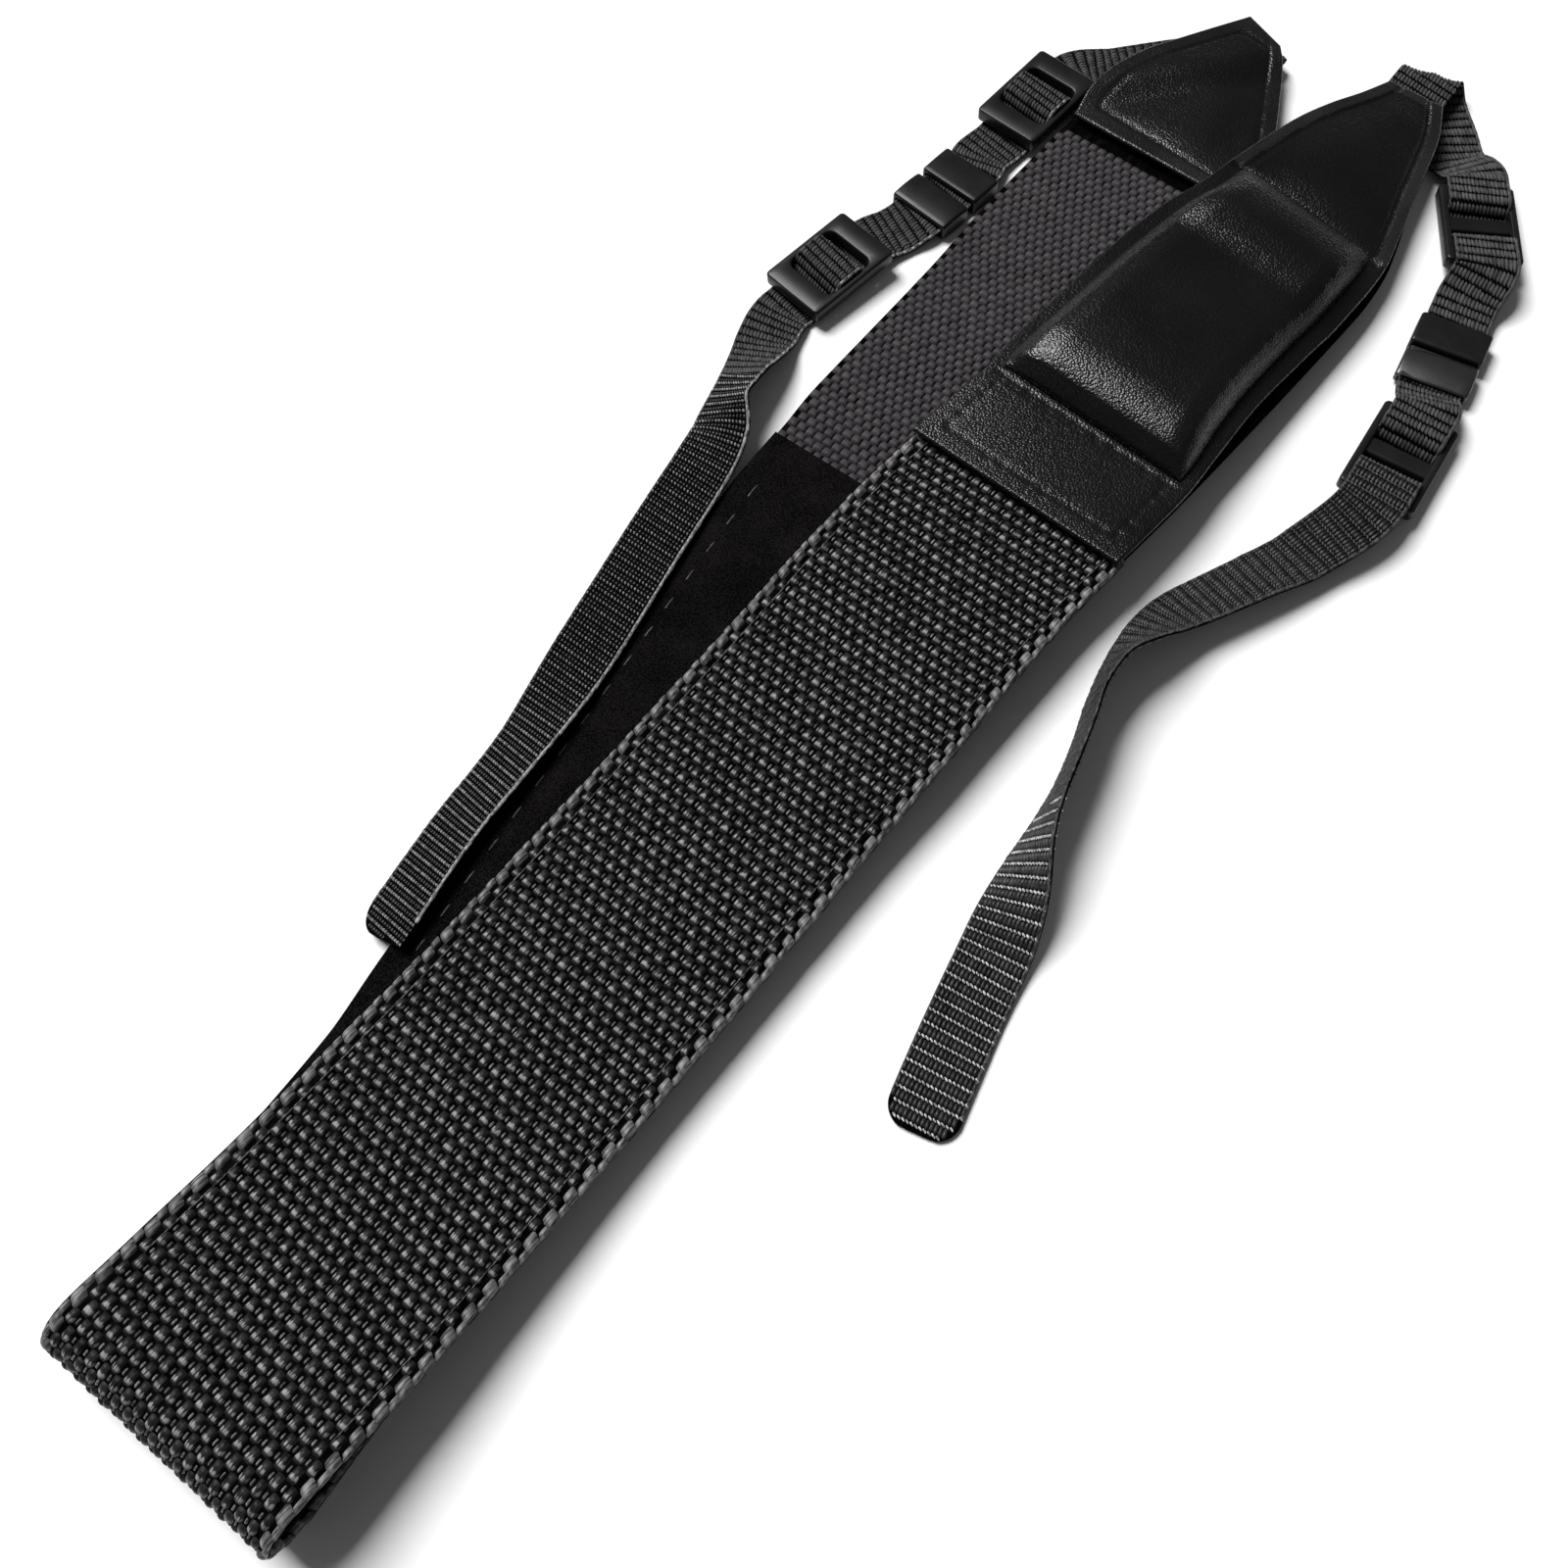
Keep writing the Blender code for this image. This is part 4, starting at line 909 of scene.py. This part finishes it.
def make_band():
    strip = band_strip(0.0, 0.0, UPPER_BAND_END, LOWER_RUN[-1][1])
    dark = yarn_material("band_core_dark", **CORE_LOOK)
    outer = yarn_material("band_yarn_outer", 0.002, 0.26, 4.5, highlight_share=0.6, tone=0.12, gloss=0.12,
                          body=0.075)
    edging = yarn_material("band_yarn_edge", 0.012, 0.22, 4.5, highlight_share=0.3, tone=0.1, gloss=0.25)
    inner = yarn_material("band_yarn_inner", (0.017, 0.0145, 0.017), (0.068, 0.061, 0.066),
                          roughness=0.75, highlight_share=0.4, tone=0.2, lit_end=-1.0)
    mesh = strip_slab("band_core", strip, BAND_GROUND, step=1.5, columns=20)
    core = shown(mesh, "band_weave", dark, "band")
    visible = reached(strip, LEATHER_START + WEAVE_UNDER_A)
    fold_end = reached(strip, COARSER_FROM, lower=True)
    outer_end = reached(strip, LEATHER_START + WEAVE_UNDER_B, lower=True)
    inner_start = reached(strip, LINING_END - WEAVE_UNDER_LINING, lower=True)
    inner_end = reached(strip, INNER_TIP_START - WEAVE_TIP_GAP, lower=True)
    first = math.ceil(visible / (2.0 * BAND_ROW)) * 2.0 * BAND_ROW
    rows = np.arange(first, outer_end, 2.0 * BAND_ROW)

    def piece(name, centres, crown, look, face=1.0):
        mesh = crowns("band_" + name, strip, centres, crown, face)
        shown(mesh, "band_weave", look)

    field = (BAND_SELVEDGE, BAND_COLUMNS, BAND_ROW)
    back_field = (BACK_SELVEDGE, BACK_COLUMNS, BACK_ROW)
    piece("weave_top", staggered(visible, fold_end, 0, *field), BAND_CROWN, outer)
    piece("dash_top", staggered(visible, fold_end, 1, *field), BAND_DASH, edging)
    piece("weave_under", staggered(fold_end, outer_end, 0, *field),
          BAND_CROWN._replace(cells=(4, 4)), outer)
    piece("weave_back", staggered(inner_start, inner_end, 0, *back_field), BACK_CROWN, inner, -1.0)
    for name, face, at in (("outer", 1.0, rows), ("inner", -1.0, rows[rows < inner_start])):
        piece("edge_bulbs_" + name, mirrored(at, BULB_INSET), EDGE_BULB, edging, face)
        at = at + BAND_ROW
        piece("edge_between_" + name, mirrored(at, BETWEEN_INSET), EDGE_BETWEEN, edging, face)
        piece("edge_second_" + name, mirrored(at, SECOND_INSET), EDGE_SECOND, outer, face)
        if name == "outer":
            at = np.arange(first, reached(strip, BINDER_END), BINDER_PITCH)
            piece("edge_binder", mirrored(at, BINDER_INSET), EDGE_BINDER, edging)


def make_lining():
    offset = BAND_THICK / 2.0 + GAP + LINING_THICK / 2.0
    strip = band_strip(offset, LINING_INSET, LINING_END, LINING_END)
    mesh = strip_slab("lining_cloth", strip, LINING_THICK, step=1.0, columns=38)
    made = shown(mesh, "lining_suede", suede_material(), "neck_lining")
    thread = yarn_material("lining_thread", 0.02, 0.08)
    start = reached(strip, STITCH_START, lower=True)
    rows = np.arange(start, strip.length - STITCH_PITCH, STITCH_PITCH)
    width = BAND_WIDTH - 2.0 * LINING_INSET
    mesh = crowns("lining_stitches", strip, mirrored(rows, STITCH_INSET, width), STITCH, -1.0)
    stitches = shown(mesh, "lining_suede", thread)


# ---------------------------------------------------------------- leather ends

def outline_points(table, y, shares):
    keyed = [((row[1] + row[3]) / 2.0, *row) for row in table]
    left = np.stack([read(keyed, 1, y), read(keyed, 2, y)], axis=-1)
    right = np.stack([read(keyed, 3, y), read(keyed, 4, y)], axis=-1)
    return left[:, None] + (right - left)[:, None] * shares[None, :, None]


def edge_shares(count):
    """Shares across a panel, closer together at its two edges."""
    even = np.linspace(0.0, 1.0, count)
    return np.unique(np.concatenate(([0.0, 0.004, 0.012], even[1:-1], [0.988, 0.996, 1.0])))


def panel(name, table, ys, height, count, margin=None):
    """Leather panel over an outline; height gives its middle from x, y and the edge's distance."""
    ends = np.array([0.0, *PANEL_ENDS])
    ys = np.concatenate((ys[0] + ends, ys[1:-1], ys[-1] - ends[::-1]))
    plan = outline_points(table, ys, edge_shares(count))
    x, y = plan[..., 0], plan[..., 1]
    across = np.minimum(x - x[:, :1], x[:, -1:] - x)
    edge = np.minimum(across, np.minimum(ys - ys[0], ys[-1] - ys)[:, None])
    middle = height(x, y, across, edge)
    near = np.clip(1.0 - edge / PANEL_ROUND, 0.0, 1.0)
    half = LEATHER_THICK / 2.0 - PANEL_ROUND * (1.0 - np.sqrt(1.0 - near ** 2))
    # margin gives the painted sheen on the panel's flat border, kept as the mark's first value
    painted_sheen = np.zeros_like(x) if margin is None else margin(edge, y) * 1.0
    return layer(name, x, y, middle - half, middle + half, np.stack([painted_sheen, edge, x], axis=-1))


def groove(distance, at, width, depth):
    return -depth * np.exp(-((distance - at) / width) ** 2)


def padding(across, y, border):
    """Rise of a padded tip, from the flat border that its seam leaves."""
    width = across.max(axis=1, keepdims=True)
    inner = np.clip((across - border) / np.maximum(width - border, 0.5), 0.0, 1.0)
    return read(TIP_PADDING, 1, y) * np.sin(math.pi / 2.0 * inner) ** 1.1


def puckers(run, away, pitch, width, depth):
    """Uneven gathers beside a seam: run is along it, away is the distance from it."""
    wave = (np.sin(run * 2.0 * math.pi / pitch) + 0.7 * np.sin(run * 4.6 / pitch + 1.3)
            + 0.5 * np.sin(run * 13.1 / pitch + 0.4))
    return depth * wave * np.exp(-(away / width) ** 2)


def make_leather_a(leather):
    above = GAP + LEATHER_THICK / 2.0

    def outer(x, y, across, edge):
        flap = 1.0 - ease((y - FLAP_END[0]) / FLAP_END[1])
        side = np.abs(across - SEAM_A[0]) < np.abs((y - LEATHER_START) - SEAM_A[0])
        seam = groove(edge, *SEAM_A) * flap
        gathers = puckers(np.where(side, y, x), edge - GATHERS_A_AT, *GATHERS_A) * flap
        creases = (groove(y, *FLAP_CREASES[0]) + groove(y, *FLAP_CREASES[1])
                   + puckers(x, y - GATHERS_FLAP_AT, *GATHERS_FLAP)) * (across > FLAP_INSET)
        start, length = TIP_SEAM_START
        tip = ease((y - start) / length) * groove(across, *TIP_SEAM_A)
        fold = groove(y, *TIP_FOLD) * (across > TIP_FOLD_INSET)
        return (upper_top(x, y) + above + padding(across, y, BORDER_A) + seam + gathers + creases
                + tip + fold)

    def inner(x, y, across, edge):
        core = BAND_THICK - THINNING_A * ease((y - UPPER_BAND_END) / TIP_LENGTH)
        return upper_top(x, y) - core - above

    # painted sheen on the upper tip's flat border
    def margin(across, y):
        return (y > SHEEN_A_START) * (across < BORDER_A - SHEEN_LESS)

    mesh = panel("leather_a_outer", LEATHER_A, np.arange(LEATHER_START, LEATHER_A_END, 0.45),
                 outer, 80, margin)
    shown(mesh, "leather_black", leather, "leather_end_a")
    mesh = panel("leather_a_inner_tip", LEATHER_A, np.arange(INNER_TIP_START, LEATHER_A_END, 1.0),
                 inner, 30)
    shown(mesh, "leather_black", leather, "inner_tip_a")


def make_pouch(leather):
    starts = [POUCH[0][0]] + [end for end, _ in POUCH_ROWS]
    ys = np.concatenate([np.arange(start, *row) for start, row in zip(starts, POUCH_ROWS)])
    shares = np.unique(np.concatenate([np.linspace(*part) for part in POUCH_COLUMNS]))
    edges = outline_points(LEATHER_A, ys, np.array([0.0, 1.0]))
    inset = read(POUCH, 2, ys)
    left = (edges[:, 0, 0] + inset)[:, None]
    right = (edges[:, 1, 0] - inset)[:, None]
    x = left + (right - left) * shares
    y = np.broadcast_to(ys[:, None], x.shape)
    base = upper_top(x, y) + GAP * 2.0 + LEATHER_THICK
    front = np.clip((ys - POUCH[0][0]) / POUCH_FRONT, 0.0, 1.0)
    rounding = np.sqrt(1.0 - (1.0 - front) ** 2)
    profile = np.minimum(read(POUCH, 1, ys), POUCH_FOOT + POUCH_RIDGE * rounding)
    rise = profile[:, None] * read(POUCH_SECTION, 1, shares)[None, :]
    across = np.minimum(x - left, right - x)
    rise = (rise + puckers(y, across - GATHERS_POUCH_AT, *GATHERS_POUCH)
            + puckers(x, y - GATHERS_HOLLOW_AT, *GATHERS_HOLLOW))
    mesh = layer("pouch_skin", x, y, base, base + np.maximum(rise, POUCH_LEAST))
    shown(mesh, "leather_black", leather, "pouch")


def make_leather_b(leather):
    shares = np.linspace(0.0, 1.0, 31)
    reach = (BAND_WIDTH / 2.0 - LEATHER_B_INSET) * np.linspace(-1.0, 1.0, 31)
    least, edge_x, fall_width = FALL_B

    def inner(x, y, across, edge):
        core = 2.0 * GAP + BAND_THICK - THINNING_B * ease((y - UPPER_BAND_END) / TIP_LENGTH)
        fall = least + (1.0 - least) * ease((edge_x - x) / fall_width)
        run = np.where(across < y - INNER_TIP_START, y, x)
        return (LEATHER_THICK * 1.5 + core + lift(x, y)
                + padding(across, y, BORDER_B) * fall * PADDING_B
                + groove(edge, *SEAM_B) + puckers(run, edge - BORDER_B, *GATHERS_B))

    stations = lower_middle(1.0)
    rows = [station - left_at(stations, i) * reach[:, None]
            for i, station in enumerate(stations[:-1])
            if i and LEATHER_START <= station[1] <= INNER_TIP_START - 1.0]
    tip = outline_points(LEATHER_B_TIP, np.arange(INNER_TIP_START, LEATHER_B_END, 1.0), shares)
    plan = np.concatenate((np.array(rows), tip))
    x, y = plan[..., 0], plan[..., 1]
    middle = LEATHER_THICK / 2.0 + lift(x, y)
    mesh = layer("leather_b_outer", x, y, middle - LEATHER_THICK / 2.0,
                 middle + LEATHER_THICK / 2.0)
    shown(mesh, "leather_black", leather, "leather_end_b")
    # the lambda gives the painted sheen on the lower tip's flat border
    mesh = panel("leather_b_tip", LEATHER_B_TIP, np.arange(INNER_TIP_START, LEATHER_B_END, 0.5),
                 inner, 70, lambda across, y: 0.6 * (across < BORDER_B - SHEEN_LESS))
    shown(mesh, "leather_black", leather, "inner_tip_b")


# ---------------------------------------------------------------- webbing tails

def tail_limits(side, distance_left):
    """Share limits of a tail: the left one has one corner cut round, the right one both."""
    radius = TIP_RADIUS[side]
    missing = np.clip(radius - distance_left, 0.0, radius)
    low = (radius - np.sqrt(radius ** 2 - missing ** 2)) / TAIL_WIDTH
    return low, 1.0 - low * (side == "right")


def tail_places(side, strip, start, end, skew, shift=0.0):
    """Crown places in even slanted rows, between two distances and inside the tail's end."""
    pitch = TAIL_ROW[side]
    rows = np.arange(start + pitch / 2.0, end, pitch) + shift
    across = (np.arange(TAIL_COLUMNS) + 0.5) * TAIL_WIDTH / TAIL_COLUMNS
    s, u = (grid.ravel() for grid in np.meshgrid(rows, across, indexing="ij"))
    s = s + skew * (u / TAIL_WIDTH - 0.5)
    low, high = tail_limits(side, strip.length - s)
    margin = TAIL_MARGIN / TAIL_WIDTH
    keep = ((u / TAIL_WIDTH > low + margin * (low > 0.0))
            & (u / TAIL_WIDTH < high - margin * (high < 1.0))
            & (s > 0.0) & (s < strip.length - LAST_CROWN))
    return np.stack([s, u], axis=-1)[keep]


def make_tail(side):
    strip = tail_strip(side)
    rib = TAIL_ROW[side]
    end = strip.length - TAIL_END
    change, highlit_from = (rib * count for count in TAIL_CHANGE[side])
    dark = yarn_material(side + "_tail_core_dark", **CORE_LOOK)
    ribbed = yarn_material(side + "_tail_rib_yarn", 0.022, 0.085, 6.0, roughness=0.6, highlight_share=0.15,
                           gloss=0.08)
    warp = yarn_material(side + "_tail_warp_yarn", 0.0015, TAIL_WARP[side], 6.0)
    # lighter nub yarn, which on the right tail's end rows is a painted highlight on their crests
    bright_and_highlit = yarn_material(side + "_tail_bright_yarn", 0.04, TAIL_BRIGHT_AND_HIGHLIT[side], 6.0, highlight_share=0.2)
    mesh = strip_slab(side + "_tail_core", strip, TAIL_GROUND, step=0.6, columns=9,
                      limits=lambda distance: tail_limits(side, strip.length - distance))
    core = shown(mesh, "tail_webbing", dark, side + "_tail")

    def piece(name, centres, crown, look, face=1.0):
        crown = crown._replace(slant=crown.slant * face)
        mesh = crowns(f"{side}_tail_{name}", strip, centres, crown, face)
        shown(mesh, "tail_webbing", look)

    near_skew, far_skew = TAIL_SKEW[side]
    ribs = tail_places(side, strip, 0.0, change, near_skew)
    rows = tail_places(side, strip, change, end, far_skew)
    between = tail_places(side, strip, change - rib, end, far_skew, rib / 2.0)
    for name, face in (("top", 1.0), ("back", -1.0)):
        piece("ribs_" + name, ribs, TAIL_RIBS[side], ribbed, face)
        if side == "left":
            piece("warp_" + name, between, TAIL_WARPS[side], warp, face)
            piece("nubs_" + name, rows, TAIL_NUBS[side], bright_and_highlit, face)
        else:
            piece("warp_" + name, rows, TAIL_WARPS[side], warp, face)
            # past this distance the right tail's nubs take the lighter yarn as a painted highlight; the
            # nearer ones keep the rib yarn
            far = between[:, 0] >= highlit_from
            piece("dim_nubs_" + name, between[~far], TAIL_NUBS[side], ribbed, face)
            piece("nubs_" + name, between[far], TAIL_NUBS[side], bright_and_highlit, face)
    edge = np.arange(0.0, end - SELVEDGE_SHORT, SELVEDGE_PITCH)
    for name, (x, width) in SELVEDGES.items():
        crown = Crown((SELVEDGE_LENGTH, width), 0.0, SELVEDGE_RISE, SELVEDGE_CELLS)
        look = bright_and_highlit if (name, side) == ("right", "left") else ribbed
        piece("selvedge_" + name, np.stack([edge, np.full_like(edge, x)], axis=-1), crown, look)


# ---------------------------------------------------------------- sliders and keepers

def turned(points, place):
    """Local points (along the webbing, across, up) set down in a table's place."""
    x, y, z, angle = place[:4]
    pitch = math.radians(place[4]) if len(place) > 4 else 0.0
    ahead = direction(angle)
    side = left_of(ahead)
    along = points[..., 0] * math.cos(pitch) - points[..., 2] * math.sin(pitch)
    up = points[..., 0] * math.sin(pitch) + points[..., 2] * math.cos(pitch)
    return np.stack([x + along * ahead[0] + points[..., 1] * side[0],
                     y + along * ahead[1] + points[..., 1] * side[1], z + up], axis=-1)


def rounded_rectangle(length, width, radius, corner=6):
    """Points of a rectangle with round corners, the same count whatever its size."""
    points = []
    for turn, (sx, sy) in enumerate(((1, 1), (-1, 1), (-1, -1), (1, -1))):
        for angle in np.radians(90.0 * turn + np.linspace(0.0, 90.0, corner)):
            points.append((sx * (length / 2.0 - radius) + radius * math.cos(angle),
                           sy * (width / 2.0 - radius) + radius * math.sin(angle)))
    return np.array(points)


def level_ring(length, width, radius, inset, z):
    ring = rounded_rectangle(length - 2.0 * inset, width - 2.0 * inset, radius)
    return np.column_stack([ring, np.full(len(ring), z)])


def make_moulding(name, place, plastic, *grids):
    """Piece of hardware from grids of closed rings, each with whether its rings also close up."""
    points = []
    faces = []
    for rings, closed in grids:
        grid = np.array(rings)
        count = sum(map(len, points))
        faces.append(grid_faces(*grid.shape[:2], closed_rows=closed, closed_columns=True) + count)
        points.append(grid.reshape(-1, 3))
    mesh = mesh_from(name + "_moulding", turned(np.concatenate(points), place),
                     np.concatenate(faces))
    mesh.set_sharp_from_angle(angle=math.radians(SHARP_ANGLE))
    shown(mesh, "slider_plastic", plastic, name)


def make_slider(name, place, plastic):
    """Frame with rounded corners and crowned bars, and a thin cross bar."""
    half = SLIDER_THICK / 2.0
    bevel = MOULDING_BEVEL * MOULDING_ROUND
    upper = [(0.0, half - MOULDING_ROUND), (bevel, half - bevel), (MOULDING_ROUND, half)]
    lower = [(inset, -z) for inset, z in upper]
    frame_size = (SLIDER_LENGTH, SLIDER_WIDTH, SLIDER_CORNER)
    window_size = (SLIDER_BAR + 2.0 * SLIDER_SLOT, SLIDER_WINDOW_WIDTH, WINDOW_CORNER)
    rings = [level_ring(*frame_size, *step) for step in lower[:1] + upper]
    rings += [level_ring(*window_size, -inset, z) for inset, z in upper[::-1] + lower]
    rings += [level_ring(*frame_size, *step) for step in lower[:0:-1]]
    section = rounded_rectangle(SLIDER_BAR, SLIDER_BAR_THICK, BAR_CORNER)
    bar = [np.column_stack([section[:, 0], np.full(len(section), across), section[:, 1]])
           for across in np.linspace(-1.0, 1.0, 9) * (SLIDER_WIDTH / 2.0 - SLIDER_BAR_INSET)]
    make_moulding(name, place, plastic, (rings, True), (bar, False))


def with_long_sides(ring, corner=6, count=8):
    """The ring of rounded_rectangle with points added along its four sides."""
    return np.concatenate([np.linspace(point, after, count, endpoint=False)
                           if k % corner == corner - 1 else point[None]
                           for k, (point, after) in enumerate(zip(ring, np.roll(ring, -1, axis=0)))])


def make_keeper(name, place, plastic, dome, camber, lean):
    """Sleeve with rounded lips.

    dome is how far its walls drop towards its two mouths, camber the share of its height
    that it loses towards its sides and lean how much lower its top is on its right.
    """
    rings = []
    half = KEEPER_LENGTH / 2.0
    bevel = MOULDING_BEVEL * MOULDING_ROUND
    inner = half - MOULDING_ROUND
    outside = np.concatenate(([-half, -half + bevel], np.linspace(-inner, inner, 9),
                              [half - bevel, half]))
    for along in outside:
        near = np.clip((abs(along) - half + MOULDING_ROUND) / MOULDING_ROUND, 0.0, 1.0)
        inset = MOULDING_ROUND * (1.0 - math.sqrt(1.0 - near ** 2))
        drop = inset + dome * (along / half) ** 2
        ring = with_long_sides(rounded_rectangle(KEEPER_WIDTH - 2.0 * inset,
                                                 KEEPER_HEIGHT - 2.0 * drop, KEEPER_CORNER))
        ring[:, 1] *= 1.0 - camber * (2.0 * ring[:, 0] / KEEPER_WIDTH) ** 2
        ring[:, 1] -= lean * (ring[:, 1] > 0.0) * (0.5 - ring[:, 0] / KEEPER_WIDTH)
        rings.append(np.column_stack([np.full(len(ring), along), ring]))
    ring = with_long_sides(rounded_rectangle(KEEPER_SLOT_WIDTH, KEEPER_SLOT_HEIGHT,
                                             KEEPER_SLOT_CORNER))
    rings += [np.column_stack([np.full(len(ring), along), ring]) for along in (half, 0.0, -half)]
    make_moulding(name, place, plastic, (rings, True))


# ---------------------------------------------------------------- stage, light and camera

def make_stage():
    reach = (-FLOOR_REACH, FLOOR_REACH)
    points = np.array([(x, y, 0.0) for y in reach for x in reach])
    mesh = bpy.data.meshes.new("stage_floor")
    mesh.from_pydata((points * MM).tolist(), [], [(0, 1, 3, 2)])
    floor = in_scene("stage_floor", mesh)
    made, tree = new_material("stage_paper", Roughness=0.9, Specular_IOR_Level=0.1)
    place = own_place(tree)
    mesh.materials.append(surface(made, ramp(tree, noise(tree, place, 400.0),
                                             [(0.0, 0.90), (1.0, 0.92)])))


def turn_to(made, axes, place):
    """Places a light or a camera, whose right, up and back directions are the axes."""
    rows = [(*row, at) for row, at in zip(np.array(axes).T, place)]
    made.matrix_world = Matrix(rows + [(0.0, 0.0, 0.0, 1.0)])


def make_light():
    world = bpy.data.worlds.new("studio")
    world.use_nodes = True
    background = world.node_tree.nodes["Background"]
    background.inputs["Color"].default_value = (1.0, 1.0, 1.0, 1.0)
    background.inputs["Strength"].default_value = WORLD_STRENGTH
    bpy.context.scene.world = world
    data = bpy.data.lights.new("key", "AREA")
    data.shape = "RECTANGLE"
    data.size = KEY_SIZE
    data.size_y = KEY_SIZE
    data.energy = KEY_POWER
    back = unit(KEY_PLACE)
    right = unit(np.cross(np.array([0.0, 1.0, 0.001]), back))
    turn_to(in_scene("key", data), [right, np.cross(back, right), back], KEY_PLACE)
    bpy.context.scene.view_settings.view_transform = "Standard"


def make_camera():
    data = bpy.data.cameras.new("camera")
    data.lens = CAMERA_LENS
    data.sensor_width = SENSOR_WIDTH
    data.clip_start = CLIP_START
    camera = in_scene("camera", data)
    turn_to(camera, unit(np.array(CAMERA_AXES)), laid(CAMERA_PLACE))
    bpy.context.scene.camera = camera


def main():
    make_camera()
    make_stage()
    make_light()
    make_band()
    make_lining()
    leather = leather_material("leather_black_grain", LEATHER_DARK, LEATHER_LIGHT)
    make_leather_a(leather)
    make_pouch(leather)
    make_leather_b(leather)
    for side in SLIDERS:
        make_tail(side)
    satin = plastic_material("slider_plastic_satin", SATIN_GLOSS)
    polished = plastic_material("keeper_plastic_polished", POLISHED_GLOSS)
    for side in SLIDERS:
        for number, place in enumerate(SLIDERS[side], 1):
            make_slider(f"{side}_slider_{number}", place, satin)
        for number, (place, shape) in enumerate(zip(KEEPERS[side], KEEPER_SHAPES[side]), 1):
            make_keeper(f"{side}_keeper_{number}", place, polished if shape[-1] else satin, *shape)


main()
